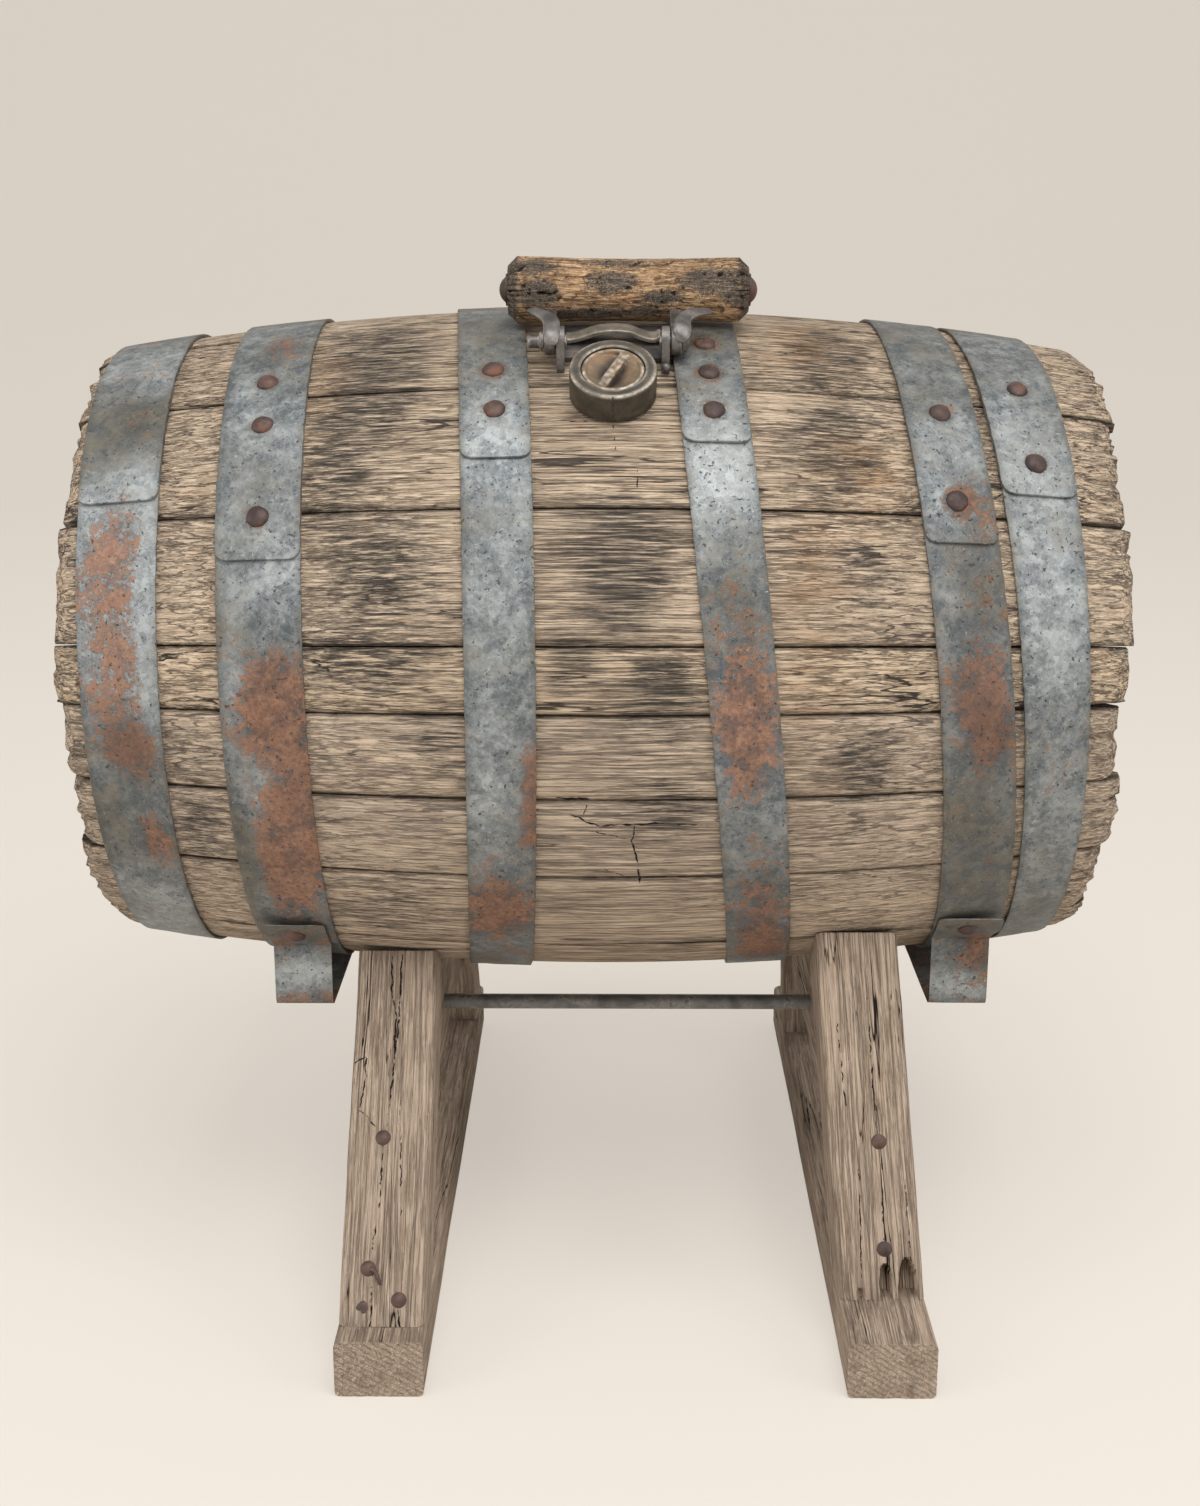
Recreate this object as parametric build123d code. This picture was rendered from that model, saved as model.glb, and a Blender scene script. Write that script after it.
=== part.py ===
# Small wooden barrel lying on a two-trestle timber stand.
# The barrel's long axis is along X, its bung and handle face the front (-Y) and up.
# The origin is on the ground, under the middle of the whole object. Millimetres.
import math
import os
from build123d import *

os.makedirs("parts", exist_ok=True)

# Barrel shell
barrel_length = 480.0
bilge_radius = 165.0
chime_radius = 144.0
belly_height = 137.0  # lowest line of the belly above the ground
stave_thickness = 15.0
stave_seam = 0.2
# Stave widths in degrees, from the seam behind the bung down the front and round
stave_widths = [23.5, 21.5, 10.5, 14, 15.5, 21.5, 19, 22, 24, 18, 21, 23, 17, 22, 20, 24, 20, 23.5]
first_seam = 55.5
# How far each stave's two ends fall short of the full length
left_shorts = [4, 1, 0, 3, 5, 2, 4, 1, 3, 0, 4, 2, 3, 1, 5, 2, 0, 3]
right_shorts = [3, 0, 2, 5, 1, 4, 2, 5, 0, 3, 1, 4, 2, 5, 0, 3, 4, 1]
chime_face = 7.0
chime_bevel = 14.0
# Places along the barrel below are as measured on a barrel of this length, and stretch with it
measured_length = 480.0

# Heads, set in a groove near each end
head_inset = 30.0
head_thickness = 13.0
groove_depth = 4.0
head_clearance = 0.25
head_board_seams = [-44.0, 41.0]

# Hoops: both edges at the axis height, their leans (mm of X per mm up), the swing (mm of X per
# mm back), the lap's two angles above horizontal, and the angles of its rivets
hoop_thickness = 1.7
hoop_clearance = 0.15
hoops = {
    "hoop_left_chime": {
        "edges": (-228, -192), "leans": (-0.025, -0.015), "swing": -0.013, "lap": (35, 62), "rivets": ()},
    "hoop_left_quarter": {
        "edges": (-166, -128), "leans": (-0.02, -0.022), "swing": -0.02,
        "lap": (24, 64), "rivets": (58, 48, 31)},
    "hoop_left_bilge": {
        "edges": (-67, -36), "leans": (-0.002, 0.001), "swing": -0.072, "lap": (40, 63), "rivets": (58, 49)},
    "hoop_right_bilge": {
        "edges": (50.6, 81), "leans": (-0.1, -0.098), "swing": -0.005,
        "lap": (43, 69), "rivets": (65.5, 57.5, 49)},
    "hoop_right_quarter": {
        "edges": (149, 182), "leans": (-0.096, -0.1), "swing": -0.021, "lap": (27, 57), "rivets": (51, 34)},
    "hoop_right_chime": {
        "edges": (185, 215), "leans": (-0.088, -0.045), "swing": -0.03, "lap": (36, 63), "rivets": (59, 42)},
}
rivet_head_radius = 5.5
rivet_head_height = 2.2
rivet_shank_radius = 2.5
rivet_clearance = 0.1

# Strap feet that hang from the quarter hoops
foot_strap_width = 31.0
foot_strap_thickness = 3.0
foot_lift = 2.0  # bottom of the foot above the lowest line of the belly
foot_top_angle = -44.0
foot_rivet_angle = -49.0
foot_tab_end_angle = -54.0
foot_clearance = 0.3

# Bung in the upper front
bung_x = 9.0
bung_angle = 53.5
ferrule_radius = 19.5
ferrule_proud = 15.0
ferrule_seat_gap = 0.6
ferrule_rounding = 1.6
ferrule_neck_radius = 16.0
ferrule_neck_over = 2.0  # how far the neck reaches past the staves inside
neck_clearance = 0.15
counterbore_radius = 14.4
counterbore_depth = 6.0
thread_bore_radius = 11.4
plug_clearance = 0.3
plug_disc_height = 3.6
plug_sunk = 0.8
plug_shank_length = 16.0
gasket_thickness = 1.3
scoop_radius = 9.0
scoop_depth = 2.0
scoop_offset = 8.3
scoop_rim = 1.8
bar_half_width = 2.3
bar_turn = 64.0

# Handle and its bracket
pivot_angle = 62.0
pivot_stand_off = 10.0  # above the belly's radius
pivot_pin_radius = 3.0
pin_head_radius = 4.6
pin_head_height = 3.2
pin_inside = 1.0
pin_clearance = 0.08
cheek_gap = 44.0
cheek_thickness = 3.5
cheek_eye_radius = 7.0
cheek_foot_width = 20.0
base_thickness = 2.4
base_angles = (61.5, 73.0)
arm_gap = 0.6
arm_thickness = 5.0
arm_eye_radius = 6.3
arm_end_radius = 5.5
grip_x = 16.0
grip_length = 112.0
grip_radius = 15.5
grip_waist_radius = 14.2
grip_waist_length = 52.0
grip_chamfer = 4.0
grip_angle = 74.7
grip_rod_radius = 3.4
grip_rod_head_radius = 6.0
grip_rod_head_height = 3.2
washer_radius = 7.4
washer_thickness = 1.0
grip_rest_gap = 0.35
horn_radius = 3.3
# A horn's start, bend and tip: share of the way to the grip, place outside the arm, place forward
horn_points = [(0.3, 1.0, 2.2), (0.38, 6.0, 4.2), (0.47, 12.0, 5.2)]
bridge_width = 8.0
bridge_thickness = 1.8
bridge_wave = 1.5
bridge_angle = 66.5
bridge_height = 5.6
bridge_end_gap = 0.05

# Stand
sleeper_half_length = 215.0
sleeper_width = 40.0
sleeper_height = 27.0
sleeper_rounding = 2.5
leg_width = 39.0
leg_depth = 36.0
seat_clearance = 0.3
seat_shoulder = 10.0  # how far in from the leg's edge its seat meets the belly
bolster_thickness = 28.0
bolster_bottom = 82.0
joint_gap = 0.2
tie_rod_radius = 4.0
tie_rod_height = 103.0
tie_rod_clearance = 0.15
nut_width = 15.0
nut_thickness = 7.0
nut_washer_radius = 10.0
nut_washer_thickness = 1.6
rod_thread_over = 4.0
trestles = {
    "left": {"x": -95, "setback": 13, "lean": 38, "splay": 0.0, "seat_angle": -52},
    "right": {"x": 134.5, "setback": 38, "lean": 24, "splay": -0.06, "seat_angle": -47},
}
nail_head_radius = 3.6
nail_head_height = 1.2
nail_shank_radius = 1.6
nail_length = 8.0
nail_bore_length = 9.5
nail_clearance = 0.1
# Nails in the front legs: trestle, distance up the leg from the sleeper, distance across
leg_nails = [("left", 86, -3), ("left", 26, -7), ("left", 12, 7.5), ("right", 72, 3.5), ("right", 23, 2.5)]

half_length = barrel_length / 2
stretch = barrel_length / measured_length
axis_height = belly_height + bilge_radius
arc_radius = (half_length**2 + (bilge_radius - chime_radius) ** 2) / (2 * (bilge_radius - chime_radius))
standing = (Align.CENTER, Align.CENTER, Align.MIN)
through = 2 * barrel_length  # length of a cutter that passes right through any piece
nodes = {}


def outer_radius(x):
    # Outer radius of the staves at a place along the barrel
    return bilge_radius - arc_radius + math.sqrt(arc_radius**2 - x**2)


def inner_radius(x):
    return bilge_radius - arc_radius + math.sqrt((arc_radius - stave_thickness) ** 2 - x**2)


def around(shape, angle):
    # Turn a shape built on the +Y side to an angle above horizontal on the front
    return Pos(0, 0, axis_height) * (Rot(180 - angle, 0, 0) * shape)


def polar(x, angle, distance):
    # A point at an angle above horizontal on the front, at a distance from the barrel's axis
    a = math.radians(angle)
    return Vector(x, -distance * math.cos(a), axis_height + distance * math.sin(a))


def outward(angle):
    a = math.radians(angle)
    return Vector(0, -math.cos(a), math.sin(a))


def profile_band(low, high, reach=half_length):
    # Section between two offsets of the barrel's outer curve
    ends = [(x, outer_radius(x)) for x in (-reach, reach)]
    upper = ThreePointArc((-reach, ends[0][1] + high), (0, bilge_radius + high), (reach, ends[1][1] + high))
    lower = ThreePointArc((-reach, ends[0][1] + low), (0, bilge_radius + low), (reach, ends[1][1] + low))
    sides = [Line(upper @ 0, lower @ 0), Line(upper @ 1, lower @ 1)]
    return make_face([*upper.edges(), *lower.edges(), *[e for s in sides for e in s.edges()]])


def band_sector(low, high, start, end, reach=half_length):
    # Part of a shell round the barrel, from one angle above horizontal down to another
    swept = revolve(profile_band(low, high, reach), axis=Axis.X, revolution_arc=start - end)
    return around(swept, start)


def between_planes(shape, left, right):
    # Keep what lies between two planes, each given by a point and a normal that points along +X
    kept = split(shape, bisect_by=Plane(origin=left[0], z_dir=left[1]), keep=Keep.TOP)
    return split(kept, bisect_by=Plane(origin=right[0], z_dir=right[1]), keep=Keep.BOTTOM)


def on_axis(radius, length, start, direction, x_dir=(1, 0, 0)):
    # A round bar from a point along a direction
    plane = Plane(origin=start, z_dir=direction, x_dir=x_dir)
    return plane * Cylinder(radius, length, align=standing)


def along_x(radius, length, start, side=1):
    # A round bar from a point along +X or -X
    return on_axis(radius, length, start, Vector(side, 0, 0), (0, 1, 0))


def dome(radius, height, base, direction, x_dir=(1, 0, 0)):
    # A low domed head that stands on a surface
    ball_radius = (radius**2 + height**2) / (2 * height)
    cap = split(Pos(0, 0, height - ball_radius) * Sphere(ball_radius), bisect_by=Plane.XY, keep=Keep.TOP)
    return Plane(origin=base, z_dir=direction, x_dir=x_dir) * cap


def save(name, shape):
    # One file for each named piece
    solids = list(shape.solids())
    nodes[name] = solids[0] if len(solids) == 1 else Compound(children=solids)
    nodes[name].label = name
    export_step(nodes[name], f"parts/{name}.step")


# Bung hole, which two staves share
bung_middle = bung_x * stretch
bung_base = polar(bung_middle, bung_angle, outer_radius(bung_middle))
bung_out = outward(bung_angle)
hole_cutter = on_axis(ferrule_neck_radius + neck_clearance, 3 * stave_thickness,
                      bung_base - bung_out * 2 * stave_thickness, bung_out)


def stave(start, width, left_short, right_short):
    # One curved board with bevelled chimes and the two head grooves
    left, right = -half_length + left_short, half_length - right_short
    outer = ThreePointArc((left, outer_radius(left)), (0, bilge_radius), (right, outer_radius(right)))
    in_left, in_right = left + chime_bevel, right - chime_bevel
    inner = ThreePointArc((in_left, inner_radius(in_left)), (0, bilge_radius - stave_thickness),
                          (in_right, inner_radius(in_right)))
    corners = [((left, outer_radius(left)), (left, outer_radius(left) - chime_face)),
               ((left, outer_radius(left) - chime_face), (in_left, inner_radius(in_left))),
               ((right, outer_radius(right)), (right, outer_radius(right) - chime_face)),
               ((right, outer_radius(right) - chime_face), (in_right, inner_radius(in_right)))]
    edges = [*outer.edges(), *inner.edges()]
    for a, b in corners:
        edges += Line(a, b).edges()
    section = make_face(edges)
    for side in (-1, 1):
        centre = side * (half_length - head_inset)
        floor = inner_radius(centre) + groove_depth
        groove = Pos(centre, floor - stave_thickness) * Rectangle(head_thickness + 2 * head_clearance,
                                                                  2 * stave_thickness)
        section = section - groove
    seam = math.degrees(stave_seam / bilge_radius)
    board = revolve(section, axis=Axis.X, revolution_arc=width - seam)
    return around(board, start - seam / 2)


scale = 360 / sum(stave_widths)
angle = first_seam
for number, width in enumerate(stave_widths):
    board = stave(angle, width * scale, left_shorts[number], right_shorts[number])
    if number in (0, len(stave_widths) - 1):
        board = board - hole_cutter
    save(f"stave_{number + 1:02d}", board)
    angle -= width * scale

# Head boards
for side, side_name in ((-1, "left"), (1, "right")):
    centre = side * (half_length - head_inset)
    radius = inner_radius(centre) + groove_depth - head_clearance
    disc = Pos(centre, 0, axis_height) * (Rot(0, 90, 0) * Cylinder(radius, head_thickness))
    cuts = [-radius - 1, *head_board_seams, radius + 1]
    for number in range(3):
        low, high = cuts[number] + stave_seam / 2, cuts[number + 1] - stave_seam / 2
        slab = Box(2 * head_thickness, 3 * radius, high - low)
        block = Pos(centre, 0, axis_height + (low + high) / 2) * slab
        save(f"head_{side_name}_board_{number + 1}", disc & block)


def hoop_middle(hoop, angle):
    # Place of a hoop's centre line at an angle above horizontal
    x = sum(hoop["edges"]) / 2 * stretch
    point = polar(x, angle, outer_radius(x))
    lean = sum(hoop["leans"]) / 2
    return x + lean * (point.Z - axis_height) + hoop["swing"] * point.Y


def rivet_at(x, angle, stand_off):
    # Centre of a rivet's head above the staves, with the direction square to their curve
    slope = math.asin(x / arc_radius)
    direction = outward(angle) * math.cos(slope) + Vector(math.sin(slope), 0, 0)
    return polar(x, angle, outer_radius(x)) + direction * stand_off, direction


outer_face = hoop_clearance + hoop_thickness
lap_face = outer_face + hoop_thickness
rivets = []
for name, hoop in hoops.items():
    planes = []
    for edge, lean in zip(hoop["edges"], hoop["leans"]):
        planes.append(((edge * stretch, 0, axis_height), (1, -hoop["swing"], -lean)))
    ring = between_planes(band_sector(hoop_clearance, outer_face, 360, 0), *planes)
    lap = between_planes(band_sector(outer_face, lap_face, hoop["lap"][1], hoop["lap"][0]), *planes)
    strip = ring + lap
    for rivet_angle in hoop["rivets"]:
        seat, direction = rivet_at(hoop_middle(hoop, rivet_angle), rivet_angle, lap_face)
        depth = 2 * hoop_thickness
        hole_start = seat - direction * 2 * depth
        strip = strip - on_axis(rivet_shank_radius + rivet_clearance, 3 * depth, hole_start, direction)
        rivets.append(dome(rivet_head_radius, rivet_head_height, seat, direction)
                      + on_axis(rivet_shank_radius, depth, seat - direction * depth, direction))
    if name.endswith("quarter"):
        for front in (foot_rivet_angle, 180 - foot_rivet_angle):
            seat, direction = rivet_at(hoop_middle(hoop, foot_rivet_angle), front, outer_face)
            depth = 2 * hoop_thickness
            hole_start = seat - direction * depth
            strip = strip - on_axis(rivet_shank_radius + rivet_clearance, 2 * depth, hole_start, direction)
    save(name, strip)
save("hoop_rivets", Compound(children=rivets))

# Strap feet: a tab on the hoop, a flat side, and a flat bottom under the belly
foot_rivets = []
barrel_envelope = around(revolve(profile_band(-bilge_radius / 2, outer_face + foot_clearance),
                                 axis=Axis.X, revolution_arc=360), 0)
for side_name in ("left", "right"):
    hoop = hoops[f"hoop_{side_name}_quarter"]
    x = hoop_middle(hoop, foot_rivet_angle)
    planes = [((x - foot_strap_width / 2, 0, axis_height), (1, 0, 0)),
              ((x + foot_strap_width / 2, 0, axis_height), (1, 0, 0))]
    tab_low = outer_face + foot_clearance
    tab_end = polar(x, foot_tab_end_angle, outer_radius(x) + tab_low + foot_strap_thickness)
    half_width = -tab_end.Y
    bottom = belly_height + foot_lift
    height = tab_end.Z - bottom + foot_strap_thickness
    tray = Pos(x, 0, bottom + height / 2) * Box(foot_strap_width, 2 * half_width, height)
    hollow = Pos(x, 0, bottom + height / 2 + foot_strap_thickness) * Box(
        2 * foot_strap_width, 2 * (half_width - foot_strap_thickness), height)
    foot = (tray - hollow) - barrel_envelope
    front_tab = (foot_top_angle, foot_tab_end_angle)
    rear_tab = (180 - foot_tab_end_angle, 180 - foot_top_angle)
    for start, end in (front_tab, rear_tab):
        tab = band_sector(tab_low, tab_low + foot_strap_thickness, start, end)
        foot = foot + between_planes(tab, *planes)
    for front in (foot_rivet_angle, 180 - foot_rivet_angle):
        seat, direction = rivet_at(x, front, tab_low + foot_strap_thickness)
        length = foot_strap_thickness + foot_clearance + hoop_thickness
        hole_start = seat - direction * length
        foot = foot - on_axis(rivet_shank_radius + rivet_clearance, 2 * length, hole_start, direction)
        foot_rivets.append(dome(rivet_head_radius, rivet_head_height, seat, direction)
                           + on_axis(rivet_shank_radius, length, seat - direction * length, direction))
    save(f"strap_foot_{side_name}", foot)
save("strap_foot_rivets", Compound(children=foot_rivets))

# Bung: a threaded ferrule, a gasket and a screwed plug with a finger bar
bung_plane = Plane(origin=bung_base, z_dir=bung_out, x_dir=(1, 0, 0))
ring = Cylinder(ferrule_radius, ferrule_proud - ferrule_seat_gap, align=standing)
neck_end = -stave_thickness - ferrule_neck_over
neck = Cylinder(ferrule_neck_radius, ferrule_proud / 2 - neck_end, align=standing)
ferrule = Pos(0, 0, ferrule_seat_gap) * ring + Pos(0, 0, neck_end) * neck
ferrule = fillet(ferrule.edges().group_by(Axis.Z)[-1], ferrule_rounding)
counterbore = Cylinder(counterbore_radius, through, align=standing)
ferrule = ferrule - Pos(0, 0, ferrule_proud - counterbore_depth) * counterbore
ferrule = ferrule - Cylinder(thread_bore_radius, through)
save("bung_ferrule", bung_plane * ferrule)

seat_height = ferrule_proud - counterbore_depth
gasket_base = seat_height + plug_clearance
disc_radius = counterbore_radius - plug_clearance
gasket = Pos(0, 0, gasket_base) * Cylinder(disc_radius, gasket_thickness, align=standing)
gasket = gasket - Cylinder(thread_bore_radius + plug_clearance, through)
save("bung_gasket", bung_plane * gasket)

disc_base = gasket_base + gasket_thickness + plug_clearance / 2
disc_top = ferrule_proud - plug_sunk
plug = Pos(0, 0, disc_base) * Cylinder(disc_radius, disc_top - disc_base, align=standing)
plug = plug + Pos(0, 0, disc_base - plug_shank_length) * Cylinder(
    thread_bore_radius - plug_clearance, plug_shank_length + 1, align=standing)
rim_radius = disc_radius - scoop_rim
for side in (-1, 1):
    scoop = Pos(0, side * scoop_offset, disc_top) * Cylinder(scoop_radius, 2 * scoop_depth)
    bowl = scoop & Pos(0, 0, disc_top) * Cylinder(rim_radius, 2 * scoop_depth)
    beside_bar = Pos(0, side * (bar_half_width + rim_radius), disc_top) * Box(
        4 * rim_radius, 2 * rim_radius, 2 * scoop_depth)
    plug = plug - (bowl & beside_bar)
save("bung_plug", bung_plane * (Rot(0, 0, bar_turn) * plug))

# Handle: bracket with two cheeks, pins, arms, rod and a turned wooden grip
pivot_distance = bilge_radius + pivot_stand_off
pivot = polar(bung_middle, pivot_angle, pivot_distance)
grip_distance = bilge_radius + outer_face + grip_rest_gap + grip_radius
grip_centre = polar(grip_x * stretch, grip_angle, grip_distance)
pivot_out = outward(pivot_angle)
envelope = around(revolve(profile_band(-bilge_radius / 2, hoop_clearance),
                          axis=Axis.X, revolution_arc=360), 0)

base = band_sector(hoop_clearance, hoop_clearance + base_thickness, base_angles[1], base_angles[0])
cheek_outer = cheek_gap / 2 + cheek_thickness
bracket = between_planes(base, ((bung_middle - cheek_outer, 0, 0), (1, 0, 0)),
                         ((bung_middle + cheek_outer, 0, 0), (1, 0, 0)))
for side in (-1, 1):
    cheek_middle = bung_middle + side * (cheek_gap + cheek_thickness) / 2
    cheek_start = (cheek_middle - cheek_thickness / 2, pivot.Y, pivot.Z)
    plane = Plane(origin=cheek_start, x_dir=pivot_out, z_dir=(1, 0, 0))
    foot_line = Pos(-pivot_stand_off, 0) * Rectangle(cheek_thickness, cheek_foot_width)
    outline = make_hull([*Circle(cheek_eye_radius).edges(), *foot_line.edges()])
    bracket = bracket + (extrude(plane * outline, amount=cheek_thickness, dir=(1, 0, 0)) - envelope)
pins = []
arm_centres = {}
for side, side_name in ((-1, "left"), (1, "right")):
    arm_centre = bung_middle + side * (cheek_outer + arm_gap + arm_thickness / 2)
    arm_centres[side_name] = arm_centre
    pin_length = pin_inside + cheek_thickness + 2 * arm_gap + arm_thickness
    start = Vector(bung_middle + side * (cheek_gap / 2 - pin_inside), pivot.Y, pivot.Z)
    bracket = bracket - along_x(pivot_pin_radius + pin_clearance, 2 * pin_length, start, side)
    head_seat = start + Vector(side * pin_length, 0, 0)
    pins.append(along_x(pivot_pin_radius, pin_length, start, side)
                + dome(pin_head_radius, pin_head_height, head_seat, (side, 0, 0), (0, 1, 0)))
save("handle_bracket", bracket)
save("handle_pivot_pins", Compound(children=pins))

link = Vector(0, grip_centre.Y - pivot.Y, grip_centre.Z - pivot.Z)


def arm_plate(centre, thickness, growth):
    # A flat bar from the pivot to the grip's rod
    plane = Plane(origin=(centre - thickness / 2, pivot.Y, pivot.Z), x_dir=link, z_dir=(1, 0, 0))
    eyes = [*Circle(arm_eye_radius + growth).edges(),
            *(Pos(link.length, 0) * Circle(arm_end_radius + growth)).edges()]
    return extrude(plane * make_hull(eyes), amount=thickness, dir=(1, 0, 0))


def taper_bar(start, end, first_radius, last_radius):
    # A tapering round bar between two points
    run = end - start
    plane = Plane(origin=start, z_dir=run)
    return plane * Cone(first_radius, last_radius, run.length, align=standing)


rod_half = grip_length / 2 + washer_thickness
grip_half = grip_length / 2
waist_half = grip_waist_length / 2
grip_face = make_face(Polyline(
    (-grip_half, 0), (-grip_half, grip_radius - grip_chamfer), (-grip_half + grip_chamfer, grip_radius),
    (-waist_half, grip_waist_radius), (waist_half, grip_waist_radius),
    (grip_half - grip_chamfer, grip_radius), (grip_half, grip_radius - grip_chamfer), (grip_half, 0),
    close=True).edges())
grip = Pos(*grip_centre) * revolve(grip_face, axis=Axis.X)
horn_forward = Vector(0, -link.Z, link.Y).normalized()
for side, side_name in ((-1, "left"), (1, "right")):
    centre = arm_centres[side_name]
    grip = grip - arm_plate(centre, arm_thickness + 2 * arm_gap, arm_gap)
    arm = arm_plate(centre, arm_thickness, 0)
    pivot_eye = Vector(centre - arm_thickness, pivot.Y, pivot.Z)
    rod_eye = Vector(centre - arm_thickness, grip_centre.Y, grip_centre.Z)
    arm = arm - along_x(pivot_pin_radius + pin_clearance, 2 * arm_thickness, pivot_eye)
    arm = arm - along_x(grip_rod_radius + pin_clearance, 2 * arm_thickness, rod_eye)
    places = []
    for share, outside, forward in horn_points:
        beside = Vector(centre + side * outside, pivot.Y, pivot.Z)
        places.append(beside + link * share + horn_forward * forward)
    start, bend, tip = places
    arm = arm + taper_bar(start, bend, 1.1 * horn_radius, horn_radius)
    arm = arm + Pos(*bend) * Sphere(1.06 * horn_radius)
    arm = arm + taper_bar(bend, tip, horn_radius, 0.8 * horn_radius)
    arm = arm + Pos(*tip) * Sphere(0.95 * horn_radius)
    save(f"handle_arm_{side_name}", arm)
# The rod's hole is cut last, so that the slots don't split it
rod_hole = Rot(0, 90, 0) * Cylinder(grip_rod_radius + rivet_clearance, 2 * grip_length)
save("handle_grip", grip - Pos(*grip_centre) * rod_hole)
washers = []
rod = along_x(grip_rod_radius, 2 * rod_half, grip_centre - Vector(rod_half, 0, 0))
for side in (-1, 1):
    washer_seat = grip_centre + Vector(side * grip_length / 2, 0, 0)
    washer = along_x(washer_radius, washer_thickness, washer_seat, side)
    hole_start = washer_seat - Vector(side * washer_thickness, 0, 0)
    hole = along_x(grip_rod_radius + rivet_clearance, 3 * washer_thickness, hole_start, side)
    washers.append(washer - hole)
    head_seat = grip_centre + Vector(side * rod_half, 0, 0)
    rod = rod + dome(grip_rod_head_radius, grip_rod_head_height, head_seat, (side, 0, 0), (0, 1, 0))
save("handle_grip_rod", rod)
save("handle_grip_washers", Compound(children=washers))

# Wavy stiffener strip between the cheeks
quarter = cheek_gap / 4
wave = [ThreePointArc((0, 0), (quarter / 2, bridge_wave), (quarter, 0)),
        ThreePointArc((quarter, 0), (1.5 * quarter, -bridge_wave), (2 * quarter, 0)),
        ThreePointArc((2 * quarter, 0), (2.5 * quarter, bridge_wave), (3 * quarter, 0)),
        ThreePointArc((3 * quarter, 0), (3.5 * quarter, -bridge_wave), (4 * quarter, 0))]
strip = trace([e for w in wave for e in w.edges()], line_width=bridge_thickness)
bridge_down = -Vector(0, math.sin(math.radians(bridge_angle)), math.cos(math.radians(bridge_angle)))
bridge_start = polar(bung_middle - cheek_gap / 2, bridge_angle, bilge_radius + bridge_height)
strip_plane = Plane(origin=bridge_start, x_dir=(1, 0, 0), z_dir=bridge_down)
bridge = extrude(strip_plane * strip, amount=bridge_width / 2, both=True)
bridge_reach = cheek_gap / 2 - bridge_end_gap
save("handle_bridge_strip", between_planes(bridge, ((bung_middle - bridge_reach, 0, 0), (1, 0, 0)),
                                           ((bung_middle + bridge_reach, 0, 0), (1, 0, 0))))

# Stand: two trestles joined by a tie rod


def leg_frame(trestle, front):
    # Plane at the foot of a leg: its outer face's middle, Z up the leg, Y into the wood
    lean = math.radians(trestle["lean"])
    y = front * (sleeper_half_length - trestle["setback"])
    direction = Vector(trestle["splay"], -front * math.tan(lean), 1)
    return Plane(origin=(trestle["x"] * stretch, y, sleeper_height), z_dir=direction, x_dir=(1, 0, 0))


def nearest_x(middle, reach):
    # The place nearest to the belly's widest ring within a reach of a middle
    return min(abs(middle - reach), abs(middle + reach))


rod_ends = []
nails = []
for side_name, trestle in trestles.items():
    middle = trestle["x"] * stretch
    sleeper = Pos(middle, 0, 0) * Box(sleeper_width, 2 * sleeper_half_length, sleeper_height, align=standing)
    save(f"stand_sleeper_{side_name}", fillet(sleeper.edges().filter_by(Axis.Y), sleeper_rounding))
    legs = {}
    for front, leg_name in ((-1, "front"), (1, "rear")):
        leg = Pos(0, -front * leg_depth / 2, 0) * Box(leg_width, leg_depth, through)
        leg = leg_frame(trestle, front) * leg
        leg = split(leg, bisect_by=Plane(origin=(0, 0, sleeper_height + joint_gap / 2)), keep=Keep.TOP)
        angle = trestle["seat_angle"] if front < 0 else 180 - trestle["seat_angle"]
        belly_radius = outer_radius(nearest_x(middle, leg_width / 2) - seat_shoulder)
        seat = polar(middle, angle, belly_radius + seat_clearance)
        legs[leg_name] = split(leg, bisect_by=Plane(origin=seat, z_dir=outward(angle)), keep=Keep.TOP)
    # Bolster between the legs, under the belly
    lean = math.tan(math.radians(trestle["lean"]))
    top = axis_height - outer_radius(nearest_x(middle, sleeper_width / 2)) - seat_clearance
    inner = sleeper_half_length - trestle["setback"] - leg_depth / math.cos(math.radians(trestle["lean"]))
    low_span, high_span = [inner - lean * (z - sleeper_height) - joint_gap for z in (bolster_bottom, top)]
    x = middle + trestle["splay"] * ((bolster_bottom + top) / 2 - sleeper_height)
    outline = make_face(Polyline((-low_span, bolster_bottom), (low_span, bolster_bottom), (high_span, top),
                                 (-high_span, top), close=True).edges())
    plane = Plane(origin=(x - bolster_thickness / 2, 0, 0), x_dir=(0, 1, 0), z_dir=(1, 0, 0))
    bolster = extrude(plane * outline, amount=bolster_thickness, dir=(1, 0, 0))
    bore_start = Vector(x - bolster_thickness, 0, tie_rod_height)
    bore = along_x(tie_rod_radius + tie_rod_clearance, 2 * bolster_thickness, bore_start)
    save(f"stand_bolster_{side_name}", bolster - bore)
    outer_side = -1 if side_name == "left" else 1
    rod_ends.append(x + outer_side * bolster_thickness / 2)
    # Nails in the front leg
    frame = leg_frame(trestle, -1)
    into = frame.y_dir
    for nail_trestle, up, across in leg_nails:
        if nail_trestle != side_name:
            continue
        origin = (frame * Pos(across, 0, up)).position
        bore = on_axis(nail_shank_radius + nail_clearance, nail_bore_length, origin - into, into)
        legs["front"] = legs["front"] - bore
        nails.append(on_axis(nail_shank_radius, nail_length, origin, into)
                     + dome(nail_head_radius, nail_head_height, origin, -into))
    for leg_name, leg in legs.items():
        save(f"stand_leg_{side_name}_{leg_name}", leg)
save("stand_nails", Compound(children=nails))

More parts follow.
